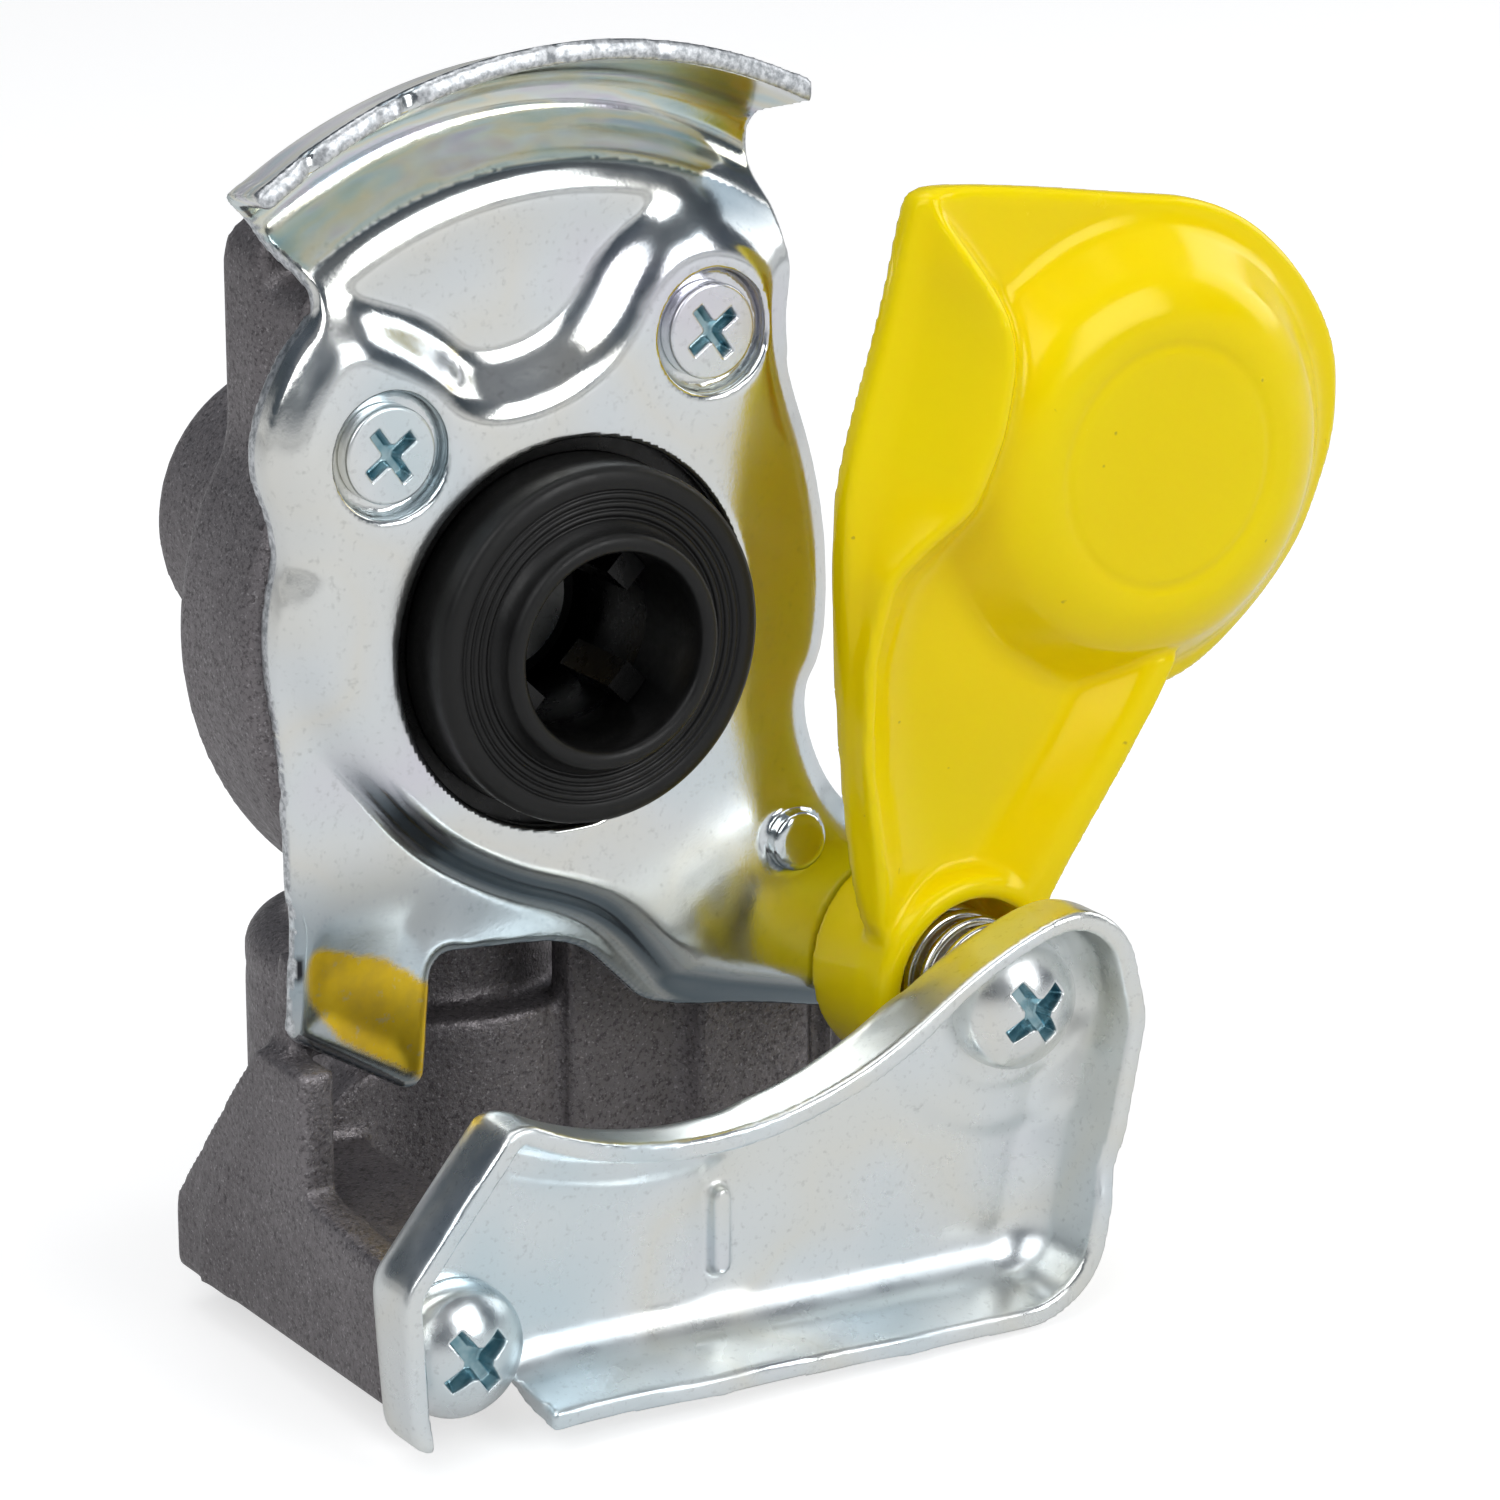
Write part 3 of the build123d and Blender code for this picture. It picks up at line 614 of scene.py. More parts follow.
def plate_mesh(step):
    """One pressed sheet: pad, S-bends down to neck and tab, gutter, curled lip, dimples and pip."""
    g = Space((-38, -51, -14), (50, 60, 4), step)
    pad, edge, neck, tab = [g.outline(line) for line in (PAD, SHEET, NECK, TAB)]
    outer = either(either(edge, neck, 2.6), tab, 2.6)
    r = np.hypot(g.x, g.y)

    # The pad and what lies 4 mm behind it, with the bend between them
    flat = g.z - NECK_FRONT
    dish = 0.45 * ease(tab, -0.8, -4.2) * ease(g.y, -22.0, -31.0)
    low = np.where(g.y > 0, np.where(r < LIP_START, flat, lip_field(g, r)), flat + dish)
    lower_bend = ease(g.y, -4.0, -13.0) * ease(g.x, 16.0, 10.0)
    brim = 0.5 + 0.8 * ease(g.y, -22.0, -27.0) * ease(g.x, -9.0, -13.0)
    top = both(pad, g.z + 0.10 * g.ripple(21.0, 1.0), 4.4 - 1.1 * lower_bend)
    top = either(top, both(outer, low, brim), 2.9 - 0.8 * lower_bend)
    for at in (LEFT_SCREW, RIGHT_SCREW):
        top = both(top, np.minimum(DIMPLE_RADIUS - g.around(at), DIMPLE_DEPTH + g.z), 0.55)
    pip = both(g.around(DETENT) - PIP_RADIUS, g.z - PIP_HEIGHT, 0.55)
    top = either(top, pip, 0.6)

    # The sheet behind that surface, cut along its outline, at its back and at its holes
    sheet = skin(top, SHEET_THICKNESS)
    beside = ease(np.minimum(neck, tab), 0.0, 3.0)
    back = (1 - beside) * (-low - SHEET_THICKNESS) + beside * (-4.8 - g.z)
    back = np.minimum(back, np.where(edge < 0.5, NECK_FRONT - SHEET_THICKNESS - g.z, 99.0))
    sheet = both(sheet, back, 0.3)
    sheet = both(sheet, outer, 0.35)
    sheet = both(sheet, SEAL_HOLE - r, 0.35)
    sheet = np.maximum(sheet, PIVOT_HOLE - g.around(PIVOT))

    # The lip's edge, wavy and nicked
    uneven = 0.10 * g.ripple(9.0, 5.0) + 0.03 * g.ripple(1.2, 9.0) * (g.x > -22)
    uneven = uneven + sum(depth * hump(g.x, x, width) for x, depth, width in NICKS)
    end = past_lip(r, g.z - (LIP_EDGE[1] - uneven) + 0.4)
    mesh = g.mesh("pressed_plate", both(sheet, np.where(r > 50, end, -9), 0.25))
    paint_plate(mesh, g, pad, outer)
    return mesh


def paint_plate(mesh, g, pad, outer):
    """Where the plate has a painted yellow reflection of the cover on the tab, sheared edges, streaks behind the
    lip, painted dark reflection on the bends and apron, and a mark.
    """
    p, n = lying(mesh), normals(mesh)
    x, y, z = p.T
    r = np.hypot(x, y)
    # The tab's patch, where the painted yellow reflection of the cover lies
    patch = signed_distance(PATCH, x, y) + 0.35 * ripple(x, y, 1.6, 4.0)
    paint(mesh, "patch", ease(patch, 0.35, -0.35) * (z > -5.2))
    lip_cut = np.abs(past_lip(r, z - 1.0) + 0.1) < 0.42
    rim = np.abs(sample(outer, g, p)) < 0.32
    paint(mesh, "cut", np.where(r > 50, lip_cut, rim & (z < -4.5)))
    paint(mesh, "gutter", ease(r, 44.4, 46.4) * (y > 0) * ease(z, -0.2, -1.2))
    way = np.arctan2(x, y) * 50
    streak = 0.5 * ripple(way / 13, r / 1.5, 1.0, 2.0) + 0.16 * ripple(way / 3.0, r / 0.7, 1.0, 6.0)
    paint(mesh, "streak", 0.5 + streak)
    # Painted dark reflection: bends that face down below the pad or up above it, and the lower apron, are marked
    # to be darkened
    forward, upward = -n[:, 1], n[:, 2]
    bend = ease(upward, -0.15, -0.60) * ease(y, -7.0, -15.0) + ease(upward, 0.3, 0.7) * (y > 34)
    apron_dark_reflection = 0.55 * ease(y, -17.0, -26.0) * ease(sample(pad, g, p), 0.5, 2.5)
    bend = np.maximum(bend * (z > -4.6), apron_dark_reflection)
    paint(mesh, "bend", bend * (r < 58) * (forward > 0.15))
    mark = np.hypot(x - MARK[0], (y - MARK[1]) / 2.6) + 0.25 * ripple(x, y, 0.8, 3.0)
    paint(mesh, "mark", ease(mark, 0.62, 0.27) * (z > -5.0))


# Guide bracket

TRAY = rounded([
    (-33.6, -51.0, 5.0), (-17.4, -31.6, 0), (0, -30.0, 0), (29.0, -27.6, 0), (46.0, -27.8, 8.0),
    (49.2, -40.0, 8.0), (43.4, -70.0, 9.0), (-19.0, -67.6, 3.0), (-32.6, -66.6, 2.0)])
TRAY_BACK = 15.0
TRAY_FRONT = TRAY_BACK + SHEET_THICKNESS
FLANGE_TOP = 25.0
MOUTH_RADIUS = 42.0
RIB, RIB_HALF = (5.0, -55.2), 3.4
# The corner is cut open beside its screw: outlines from the screw's centre
OPEN_CORNER = [(-6.3, 2.3, 0), (-6.3, -20, 0), (6.3, -20, 0), (6.3, -4.2, 1.0), (3.3, -4.2, 1.0), (3.3, 2.3, 1.0)]
OPEN_END = [(-9.0, -6.9, 0), (-9.0, -14, 0), (8.4, -14, 0), (7.0, -8.6, 2.0), (4.4, -6.0, 0)]
TRAY_HOLE = 3.25


def tray_mesh(step):
    """One pressed tray: folded flanges, mouth, relief, rib and the pivot's stepped pad."""
    g = Space((-36, -73, 13), (52, -25, 27.5), step)
    r, pivot = np.hypot(g.x, g.y), g.around(PIVOT)
    rib = np.hypot(g.x - RIB[0], np.maximum(np.abs(g.y - RIB[1]) - RIB_HALF, 0))

    # Outline with flared flanges, and the mouth round the seal
    flare = 2.4 * ease(g.y, -40.0, -54.0) * ease(g.x, -22.0, -14.0)
    flare = flare + 1.6 * ease(g.x, 34.0, 42.0) * ease(g.y, -36.0, -44.0) * (1 - flare / 2.4)
    corner = 2.4 + 5.6 * ease(g.x, -5.0, 15.0)
    plan = both(g.outline(TRAY) + flare * (FLANGE_TOP - g.z) / 9.0, MOUTH_RADIUS - r, corner)

    # Relief of the face: raised along the mouth and in two steps round the pivot, sunk round the rib
    relief = 0.75 * ease(r, 49.5, 47.1) * ease(g.x, 8.0, 3.0) * ease(g.x, -21.0, -18.0)
    relief = np.maximum(relief, 0.6 * ease(pivot, 14.5, 12.1)) + 0.28 * ease(pivot, 9.2, 8.4)
    relief = relief - 0.30 * ease(rib, 5.0, 1.2) + 0.35 * g.ripple(16.0, 7.0)
    shell = skin(both(plan, TRAY_BACK + relief - g.z, 5.6), SHEET_THICKNESS)
    raised = np.maximum(both(rib - 1.0, g.z - TRAY_FRONT - 0.95, 0.45), TRAY_BACK + 0.6 - g.z)
    shell = either(shell, raised, 0.7)

    # The flanges' uneven edge, with a dent in the right one
    uneven = 0.30 * g.ripple(9.0, 2.0) + 0.05 * g.ripple(1.6, 3.0) + 0.7 * hump(g.y, -55.0, 2.4) * (g.x > 40)
    shell = both(shell, g.z - (FLANGE_TOP - uneven), 0.45)

    # Cuts and holes
    x, y = BRACKET_SCREW
    window, end = [g.outline(rounded([(x + dx, y + dy, radius) for dx, dy, radius in line]))
                   for line in (OPEN_CORNER, OPEN_END)]
    shell = np.maximum(shell, -np.maximum(window, TRAY_FRONT - g.z))
    shell = both(shell, -end, 0.5)
    for at in (BRACKET_SCREW, PIVOT):
        shell = np.maximum(shell, TRAY_HOLE - g.around(at))
    return g.mesh("pressed_tray", shell)


# Dust cover: drawn along its arm, u from the pivot towards the cup's centre and v across

ARM = math.atan2(-PIVOT[1], -PIVOT[0]) - math.radians(OPEN_ANGLE)
ARM_LENGTH = math.hypot(*PIVOT)
COVER_EDGE = [
    (0.0, 10.2), (7.0, 15.6), (24.0, 23.9), (36.0, 28.8), (44.0, 31.3), (60.0, 32.0), (69.6, 33.4), (71.6, 33.0),
    (73.0, 29.6), (75.3, 19.5), (77.4, 8.4), (78.9, 1.4), (78.6, -5.8), (76.0, -12.6), (72.2, -18.2),
    (68.0, -21.9), (61.0, -24.4), (54.9, -24.5), (49.6, -24.1), (43.4, -21.6), (37.4, -18.2), (34.2, -15.4),
    (32.4, -12.8), (31.0, -9.4), (24.4, -8.1), (7.7, -5.3), (0.0, -4.2)]
# Sections of the wing: u, then v of its base, crest and inner foot, and the crest's height
WING = [(-6.0, 9.0, 8.4, 4.0, 10.0), (7.0, 15.6, 13.6, 10.0, 11.7), (18.0, 21.2, 20.6, 15.8, 12.6),
        (28.0, 25.6, 24.4, 19.6, 13.4), (36.0, 28.8, 25.6, 20.6, 14.4), (40.5, 30.3, 23.6, 17.4, 15.8),
        (44.5, 31.3, 21.2, 14.6, 17.2), (52.0, 31.6, 21.0, 14.4, 17.9), (59.0, 31.9, 22.1, 16.2, 17.9),
        (62.6, 32.2, 23.8, 18.4, 17.4), (66.0, 32.7, 27.2, 22.6, 15.8), (70.8, 33.2, 32.2, 30.0, 11.0),
        (90.0, 33.2, 32.2, 30.0, 10.8)]
WING_END = 71.5
COVER_BACK, WALL_TOP, NECK_TOP, CUP_FRONT = 7.8, 8.8, 10.2, 17.0
CUP_RADIUS, CUP_INSIDE = 22.9, 21.4
RING_RADIUS = 11.9
BOSS_RADIUS, BOSS_TOP = 11.2, 12.2
SPRING_SEAT, SPRING_FLOOR = 8.4, 3.2
COVER_BORE = 4.56


def wing_sections(u):
    """Base, crest, inner foot and crest's height of the wing along u, smoothed."""
    places, *columns = zip(*WING)
    fine = np.arange(-10, 90, 0.5)
    bell = hump(np.arange(-8, 9), 0.0, 3.4)
    return [np.interp(u, fine, np.convolve(np.interp(fine, places, column), bell / bell.sum(), "same"))
            for column in columns]


def cover_mesh(step):
    """One moulding: cup with its face, neck with ridge and bank, wing, pivot boss, hollow behind."""
    g = Space((21.5, -51, -0.6), (84.5, 42, 19.2), step)
    dx, dy = g.x - PIVOT[0], g.y - PIVOT[1]
    u = dx * math.cos(ARM) + dy * math.sin(ARM)
    v = dy * math.cos(ARM) - dx * math.sin(ARM)
    edge = signed_distance(flowing(COVER_EDGE), u[:, :, 0], v[:, :, 0])[:, :, None]
    r, pivot = np.hypot(u - ARM_LENGTH, v), np.hypot(u, v)

    def cone(radius, level):
        """A cup's tapering side, through a radius at a level."""
        return (r - radius) * 0.75 + (g.z - level) * 0.66

    base, crest, foot, height = wing_sections(u)
    outside = past(v, g.z, (base, WALL_TOP), (crest, height))
    inside = -past(v, g.z, (foot, NECK_TOP), (crest, height))
    wing = np.maximum(both(outside, inside, 0.9), (u - WING_END) * 0.8)
    ring = 0.26 * hump(r, RING_RADIUS, 0.42)
    cup = both(g.z - CUP_FRONT + ring, cone(CUP_RADIUS, NECK_TOP), 2.4)

    # The bank along the neck's lower edge
    bank_edge = -5.3 - (u - 8.7) * 0.171
    bank_foot = 0.8 - (u - 12.6) * 0.163
    bank_top = 13.0 + 1.8 * ease(u, 8.0, 30.0)
    side = past(v, g.z, (bank_foot, NECK_TOP), (bank_edge + 2.6, bank_top))
    bank = both(g.z - bank_top, side, 0.8)
    bank = both(bank, bank_edge - 0.1 - v, 0.7)
    bank = both(bank, (u + 0.30 * v - 33.4) * 0.8, 0.8)

    front = g.z - (NECK_TOP - 1.2 * ease(u, 30.0, 12.0))
    for form, blend in ((cup, 1.0), (bank, 0.7), (wing, 1.5)):
        front = either(front, form, blend)
    shell = both(front, edge, 0.9)
    shell = both(shell, COVER_BACK - g.z, 0.4)
    boss = both(pivot - BOSS_RADIUS + 0.12 * np.maximum(g.z - 8.0, 0), g.z - BOSS_TOP, 1.2)
    shell = either(shell, both(boss, 0.1 - g.z, 0.3), 1.1)
    shell = both(shell, -np.maximum(pivot - SPRING_SEAT, SPRING_FLOOR - g.z), 0.7)
    shell = np.maximum(shell, COVER_BORE - pivot)

    # Hollow behind the cup and behind the wing
    hollow = both(cone(CUP_INSIDE, COVER_BACK), g.z - CUP_FRONT + 2.2, 1.5)
    shell = both(shell, -hollow, 0.5)
    behind = both(both(wing, slab(u, 44.0, 66.5), 1.2) + 2.3, edge + 2.6, 1.0)
    shell = both(shell, -np.maximum(behind, 22.6 - r), 0.5)
    return g.mesh("moulded_cover", shell)


# Casting: outlines in plan, profiles as (y, z)

SHOULDER = rounded([(-25.0, 10.0, 0), (-25.0, 35.6, 4.0), (23.0, 35.6, 4.0), (23.0, 10.0, 0)])
BLOCK = rounded([(-25.8, 10.0, 0), (-25.8, 39.4, 4.0), (22.0, 39.4, 5.0), (22.0, 10.0, 0)])
BRIDGE = rounded([(-30.0, -66.0, 0), (0.0, -66.0, 0), (0.0, -46.0, 0), (-15.0, -46.0, 0), (-26.4, -56.0, 0),
                  (-30.0, -56.0, 0)])
WEB = rounded([(6.0, -20.0, 0), (6.0, -60.0, 2), (28.0, -60.5, 3), (39.5, -55.5, 4), (42.5, -46.0, 4),
               (44.0, -34.0, 5), (26.0, -16.0, 0)])
FOOT_WALL = [(-38.4, -0.5), (-50.5, -0.5), (-52.4, 15.0), (-66.0, 15.0), (-66.0, -27.0), (-58.6, -27.0),
             (-42.0, -13.0), (-38.4, -9.6)]
FOOT_ARM = [(-52.4, 15.0), (-66.0, 15.0), (-66.0, -27.0), (-60.0, -27.0), (-52.4, -19.6)]
FOOT_RIB = [(-38.4, -6.0), (-38.4, -13.0), (-12.0, -13.0), (-12.0, -6.0)]
FOOT_STEP = [(-38.9, -6.0), (-38.9, -11.0), (-29.0, -9.0), (-29.0, -6.0)]
# The parting line on the foot's outer side
PARTING_Y = [-66.0, -60.3, -53.9, -46.1, -37.9, -30.0]
PARTING_Z = [-21.4, -20.0, -16.5, -10.0, -1.6, 6.0]
FOOT_SIDE = -30.0
PIT = (-21.2, -50.4)
# Bores on the seal's axis and drilled holes, each open to the front: radius and depth
VALVE_BORES = [(20.1, -10.1), (15.35, -23.9), (11.6, -54.1)]
DRILLED = [(LEFT_SCREW, 7.4, -4.2), (LEFT_SCREW, 2.6, -17.2), (RIGHT_SCREW, 7.4, -4.2),
           (RIGHT_SCREW, 2.6, -17.2), (BRACKET_SCREW, 3.1, 0.0), (PIVOT, 3.1, -16.0)]
PORT_RADIUS, PORT_END, AIR_WAY = 10.19, -48.0, 6.5
PORT_BOSS = 17.8


def foot_field(g):
    """The left foot: thin wall with its arm, rib, step and bridge, a parting line and a small pit."""
    joint = np.interp(g.y, PARTING_Y, PARTING_Z)
    side = FOOT_SIDE - 0.38 * hump(g.z, joint, 0.8) * (g.y < -36)
    foot = both(g.profile(FOOT_WALL), slab(g.x, side, -26.4), 0.35)
    for form, blend in ((both(g.profile(FOOT_ARM), slab(g.x, side, -15.0), 0.6), 0.8),
                        (both(g.profile(FOOT_RIB), slab(g.x, -24.6, -19.0), 0.6), 1.2),
                        (both(g.profile(FOOT_STEP), slab(g.x, -28.0, -22.0), 0.8), 1.4),
                        (both(g.outline(BRIDGE), slab(g.z, -21.0, -16.0), 0.6), 1.2)):
        foot = either(foot, form, blend)
    return both(foot, -np.maximum(g.around(PIT) - 2.1, -17.6 - g.z), 0.4)


def web_field(g):
    """The web beside the port boss: panels at three levels with two small ribs."""
    face = -12.0 + 2.4 * ease(g.x, 18.4, 20.0) - 1.6 * ease(g.x, 32.4, 33.3)
    face = face + 1.5 * hump(g.x, 35.3, 0.8) + 1.2 * hump(g.x, 38.6, 0.8)
    return both(g.outline(WEB), slab(g.z, -16.0, face), 0.5)


def casting_mesh(step):
    """The die casting: drum, blocks, valve chamber, port boss, foot, web, post and bores."""
    g = Space((-34.5, -67.5, -58.6), (47.5, 41.5, 16.2), step)
    r, upright = np.hypot(g.x, g.y), g.from_port()
    body = both(g.outline(PAD) + 2.3, g.z + 2.0, 2.0)
    body = np.maximum(body, -7.5 - g.z)
    seam = 0.22 * hump(g.z, -12.6, 0.55)
    ledge = both(upright - PORT_BOSS, slab(g.y, -43.0, -36.1), 3.2)
    ledge = both(ledge, np.maximum(g.x + 7.0, g.z + 26.8), 1.2)
    port_boss = either(both(upright - PORT_BOSS, slab(g.y, -66.0, -41.5), 0.9), ledge, 1.0)
    forms = [
        (both(r - 31.6 - seam, slab(g.z, -21.0, -6.0), 2.2), 0.8),
        (both(g.outline(SHOULDER), slab(g.z, -14.0, -6.0), 0.8), 0.8),
        (both(g.outline(BLOCK), slab(g.z, -21.0, -13.0), 1.6), 1.2),
        (both(r - 18.0, slab(g.z, -26.0, -8.0), 2.2), 1.5),
        (both(r - 15.5, slab(g.z, -57.0, -8.0), 2.2), 2.0),
        (both(upright - 13.4, slab(g.y, -44.0, 0.0), 0.5), 1.6),
        (port_boss, 1.2),
        (foot_field(g), 1.6),
        (web_field(g), 1.2),
        (both(g.around(PIVOT) - 8.0, slab(g.z, -16.0, -6.0), 0.5), 0.8)]
    for form, blend in forms:
        body = either(body, form, blend)
    for radius, depth in VALVE_BORES:
        body = both(body, -np.maximum(r - radius, depth - g.z), 0.3)
    body = both(body, -np.maximum(upright - PORT_RADIUS, g.y - PORT_END), 0.8)
    body = both(body, -np.maximum(upright - AIR_WAY, g.y), 0.3)
    for at, radius, depth in DRILLED:
        body = np.maximum(body, -np.maximum(g.around(at) - radius, depth - g.z))
    return g.mesh("cast_housing", body)


# Screws and seal

FLAT_HEAD = dict(radius=4.65, height=2.0, dome=0.0, arm=1.25, reach=5.9, shank=2.5)
PAN_HEAD = dict(radius=6.6, height=5.5, dome=3.2, arm=1.9, reach=7.8, shank=3.0)
# Name, centre, underside of the head, end of the shank, kind
SCREWS = [("plate_screw_left", LEFT_SCREW, -DIMPLE_DEPTH, -16.0, FLAT_HEAD),
          ("plate_screw_right", RIGHT_SCREW, -DIMPLE_DEPTH, -16.0, FLAT_HEAD),
          ("bracket_screw", BRACKET_SCREW, TRAY_FRONT, 1.0, PAN_HEAD),
          ("pivot_screw", PIVOT, TRAY_FRONT + 0.6, -15.0, PAN_HEAD)]
CROSS_TURN = math.radians(35.0)
CROSS_DEPTH = 2.3
SCREW_STEP = 0.13


def screw_mesh(name, at, seat, tail, radius, height, dome, arm, reach, shank):
    """A screw with a cross recess, its head flat or domed, its shank plain."""
    top = seat + height
    half = radius + 0.6
    g = Space((at[0] - half, at[1] - half, seat - 0.6), (at[0] + half, at[1] + half, top + 0.6), SCREW_STEP)
    rho = g.around(at)
    if dome:
        ball = (radius * radius + dome * dome) / (2 * dome)
        cap, rim = np.sqrt(rho * rho + (g.z - top + ball) ** 2) - ball, 0.7
    else:
        cap, rim = g.z - top, 0.35
    head = both(both(rho - radius, cap, rim), seat - g.z, 0.2)

    # The recess: two tapering bars and a core
    c, s = math.cos(CROSS_TURN), math.sin(CROSS_TURN)
    u = (g.x - at[0]) * c + (g.y - at[1]) * s
    v = (g.y - at[1]) * c - (g.x - at[0]) * s
    depth = top - g.z
    width, length = arm / 2 - 0.16 * depth, reach / 2 - 0.42 * depth
    bar = np.maximum(np.abs(u) - width, np.abs(v) - length)
    other = np.maximum(np.abs(v) - width, np.abs(u) - length)
    core = np.hypot(u, v) - (arm * 0.86 - 0.22 * depth)
    cross = np.maximum(np.minimum(np.minimum(bar, other), core), depth - min(CROSS_DEPTH, height - 0.5))
    mesh = g.mesh(name, both(head, -cross, 0.12))

    p = lying(mesh)
    rho = np.hypot(p[:, 0] - at[0], p[:, 1] - at[1])
    surface = top - (rho * rho / (2 * ball) if dome else 0)
    # Painted shade: where the cross recess lies below the head's surface, marked to be darkened
    paint(mesh, "recess", ease(surface - p[:, 2], 0.25, 0.75) * (rho < reach * 0.55))
    neck = seat + 0.3
    section = [(0.001, neck), (shank, neck), (shank, tail + 0.8), (shank - 0.8, tail), (0.001, tail)]
    bm = bmesh.new()
    bm.from_mesh(mesh)
    bm.from_mesh(lathe(name + "_shank", section, at, 48))
    bm.to_mesh(mesh)
    bm.free()
    mesh.shade_smooth()
    return mesh


GROOVES = (14.9, 14.05, 13.2, 12.35)
GROOVE_SECTION = ((0.28, 5.08), (0.14, 4.95), (0.0, 4.72), (-0.14, 4.95), (-0.28, 5.12))


def seal_mesh():
    """The rubber ring turned whole: raised lip, four fine grooves and a rounded shoulder."""
    back = [(9.5, -3.0), (16.0, -3.0)]
    outer = [(17.2, -1.8), (17.2, 4.1), (17.05, 4.6), (16.6, 4.95), (15.9, 5.05)]
    face = [(groove + across, z) for groove in GROOVES for across, z in GROOVE_SECTION]
    lip = [(11.9, 5.3), (11.5, 5.8), (11.35, 6.6), (11.2, 7.1), (10.8, 7.38), (10.3, 7.42), (9.8, 7.3),
           (9.52, 6.9), (9.5, 6.2), (9.5, -3.0)]
    return lathe("soft_seal", back + outer + face + lip, (0, 0), 224)


# Pieces: name, form, grid step of a quick and of a full run, body, slot, replaced node, finish

FORMED = [
    ("cast_housing", casting_mesh, 1.1, 0.8, "root", "cast_aluminium", "housing", cast_metal),
    ("pressed_plate", plate_mesh, 0.6, 0.42, "root", "zinc_plate", "claw_plate", plate_zinc),
    ("pressed_tray", tray_mesh, 0.6, 0.4, "root", "zinc_bracket", "guide_bracket", bracket_zinc),
    ("moulded_cover", cover_mesh, 0.7, 0.45, "cover", "yellow_plastic", "cover", yellow)]
for name, form, coarse, fine, body, slot, replaced, finish in FORMED:
    dress(new_object(name, form(fine), body, slot, replaced), finish)
for name, at, seat, tail, kind in SCREWS:
    mesh = screw_mesh(name + "_cross", at, seat, tail, **kind)
    dress(new_object(name + "_cross", mesh, "root", "zinc_screw", name), screw_zinc)
dress(new_object("soft_seal", seal_mesh(), "valve", "black_rubber", "seal_ring"), black_rubber)

CARRIED_OVER = {"seal_carrier": black_plastic, "carrier_o_ring": black_rubber, "valve_disc": black_rubber,
                "cover_spring": spring_wire, "valve_spring": spring_wire, "valve_stem": brass,
                "pivot_sleeve": screw_zinc, "valve_disc_washer": screw_zinc}
for name, finish in CARRIED_OVER.items():
    dress_node(name, finish)


# Stage, lights and camera

FLOOR_GAP = 0.0004
FLOOR_HALF = 4.0
FLOOR_GLOW = 0.64
GLOSS_SHARE = 0.38
LIGHT_AIM = (0.01, -0.03, 0.065)
# Name, place, size, power
LAMPS = [("key", (-0.85, -0.6, 0.95), 0.9, 6.6), ("front", (0.45, -1.25, 0.75), 0.8, 9.0),
         ("right", (1.0, -0.1, 0.5), 0.6, 2.5), ("top", (0.0, 0.1, 1.2), 0.9, 4.5)]
# What gloss mirrors, from level and below (0) to straight up (1): light at the horizon, dark above
SURROUNDINGS = ((0.0, (0.95, 0.95, 0.95)), (0.10, (0.60, 0.61, 0.63)), (0.22, (0.06, 0.08, 0.10)),
                (0.50, (0.12, 0.14, 0.17)), (0.75, (0.30, 0.31, 0.33)))
SURROUNDINGS_STRENGTH = 0.75
CAMERA_PLACE = (-0.2719, -0.4875, 0.2223)
CAMERA_VIEW = (0.5124, 0.8043, -0.3007)
LENS = 141.9
SENSOR = 36.0


def floor_material():
    """A matt light floor. Its glow is seen by the camera and partly in gloss, and lights nothing."""
    m = Nodes("floor", Base_Color=(*grey(0.55), 1), Roughness=0.7, Specular_IOR_Level=0.0,
              Emission_Color=(1, 1, 1, 1))
    path = m.add("ShaderNodeLightPath")
    seen = m.math("MULTIPLY_ADD", path.outputs["Is Glossy Ray"], GLOSS_SHARE, path.outputs["Is Camera Ray"])
    m.set("Emission Strength", m.math("MULTIPLY", seen, FLOOR_GLOW))
    return m.material


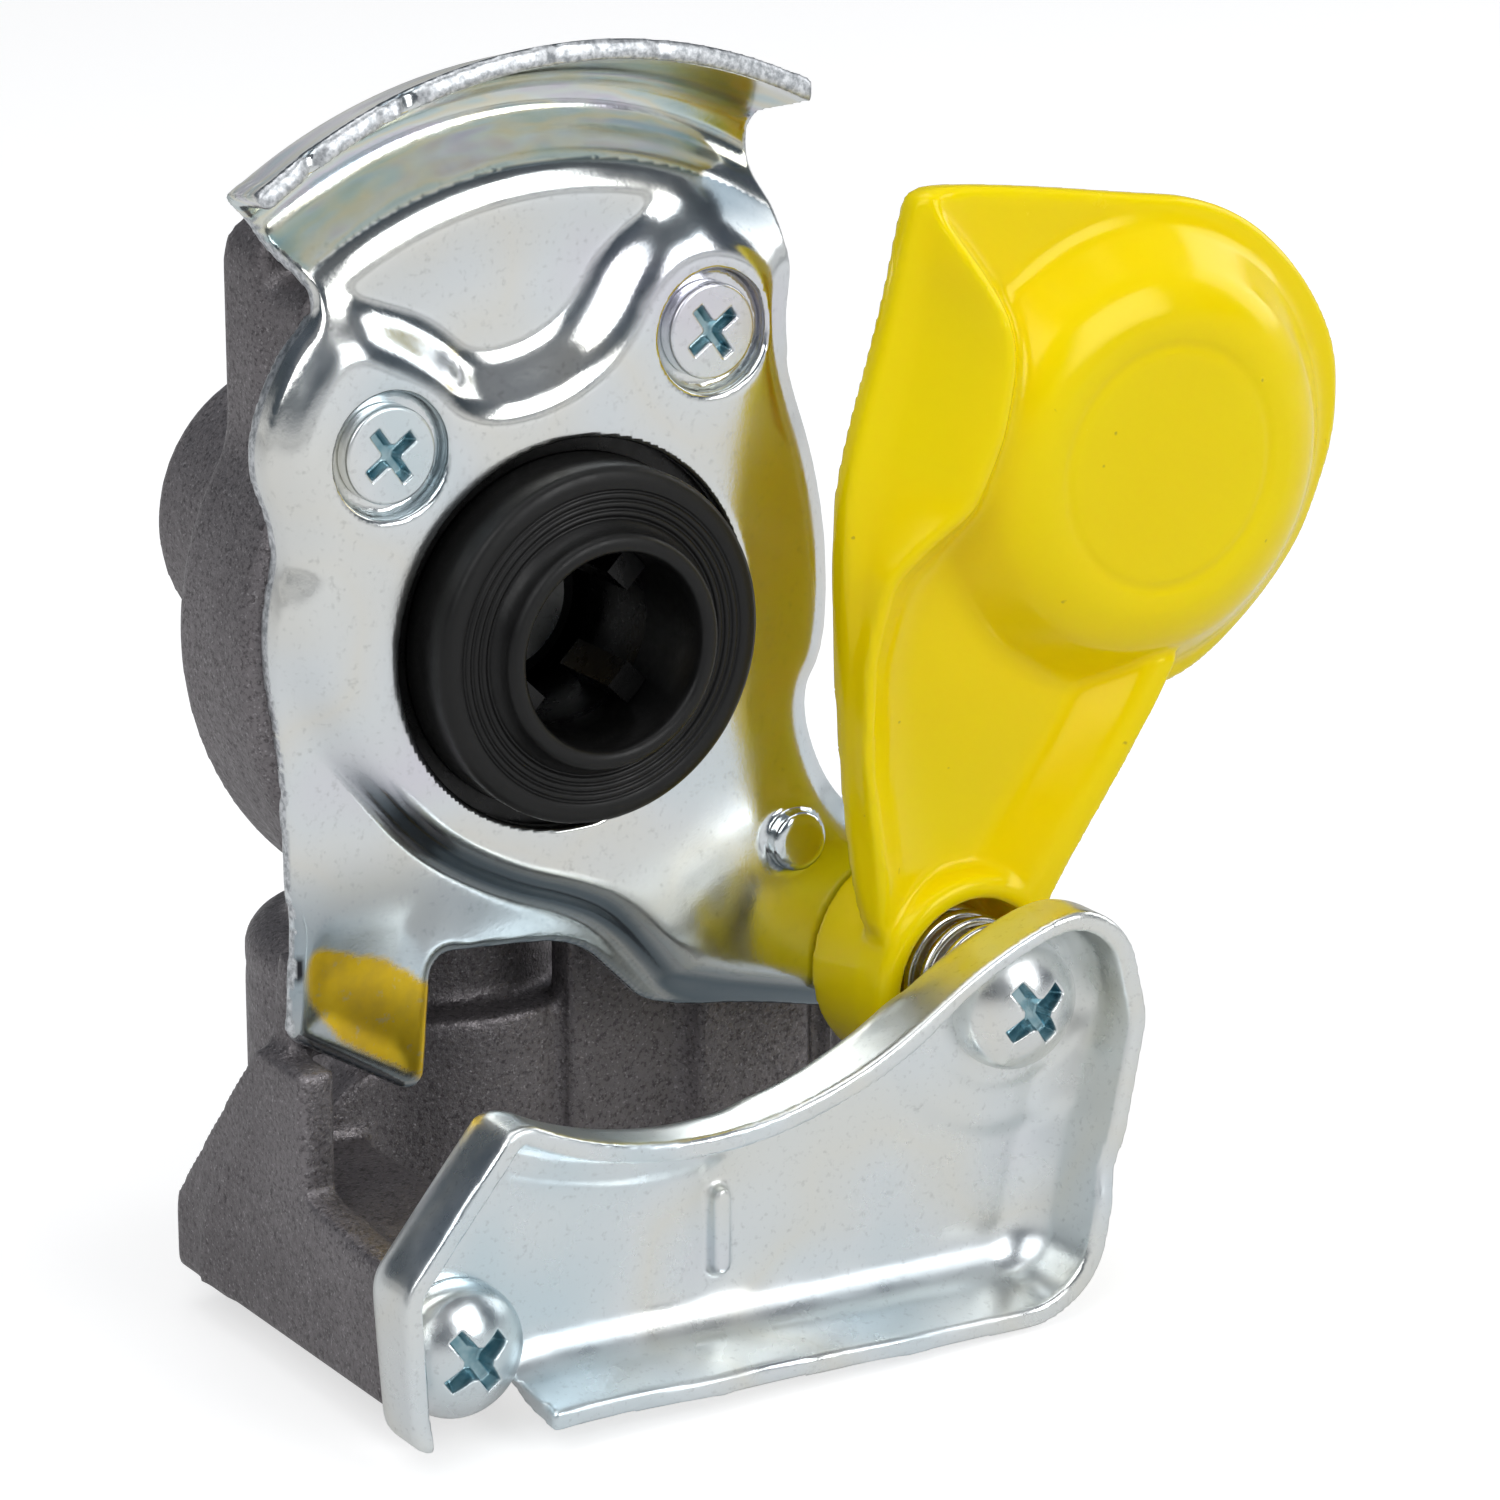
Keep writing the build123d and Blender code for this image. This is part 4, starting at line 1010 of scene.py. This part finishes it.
def add_floor():
    z = cad_box[0][2] - FLOOR_GAP
    corners = [(x * FLOOR_HALF, y * FLOOR_HALF, z) for x, y in ((-1, -1), (1, -1), (1, 1), (-1, 1))]
    floor = bpy.data.objects.new("floor", from_lists("floor", corners, [(0, 1, 2, 3)], False))
    bpy.context.scene.collection.objects.link(floor)
    floor.data.materials.append(floor_material())


def add_lamp(name, place, size, power):
    data = bpy.data.lights.new(name, "AREA")
    data.shape = "SQUARE"
    data.size = size
    data.energy = power
    lamp = bpy.data.objects.new(name, data)
    bpy.context.scene.collection.objects.link(lamp)
    lamp.location = place
    lamp.rotation_euler = (Vector(LIGHT_AIM) - Vector(place)).to_track_quat("-Z", "Y").to_euler()


def add_world():
    """White to the camera; to everything else a sky that is dark above a light horizon."""
    world = bpy.data.worlds.new("studio")
    bpy.context.scene.world = world
    world.use_nodes = True
    tree = world.node_tree
    tree.nodes.clear()
    way = add_node(tree, "ShaderNodeTexCoord").outputs["Generated"]
    height = add_node(tree, "ShaderNodeSeparateXYZ", {0: way}).outputs["Z"]
    sky = add_node(tree, "ShaderNodeBackground",
                   {"Color": add_ramp(tree, height, SURROUNDINGS), "Strength": SURROUNDINGS_STRENGTH})
    white = add_node(tree, "ShaderNodeBackground", {"Color": (1, 1, 1, 1), "Strength": 1.0})
    to_camera = add_node(tree, "ShaderNodeLightPath").outputs["Is Camera Ray"]
    mixed = add_node(tree, "ShaderNodeMixShader", {"Fac": to_camera, 1: sky.outputs[0], 2: white.outputs[0]})
    add_node(tree, "ShaderNodeOutputWorld", {"Surface": mixed.outputs[0]})


def add_camera():
    data = bpy.data.cameras.new("camera")
    data.sensor_width = SENSOR
    data.lens = LENS
    data.clip_start = 0.01
    camera = bpy.data.objects.new("camera", data)
    bpy.context.scene.collection.objects.link(camera)
    camera.location = CAMERA_PLACE
    camera.rotation_euler = Vector(CAMERA_VIEW).to_track_quat("-Z", "Y").to_euler()
    bpy.context.scene.camera = camera


add_floor()
for lamp in LAMPS:
    add_lamp(*lamp)
add_world()
add_camera()
bpy.context.scene.view_settings.view_transform = "Standard"
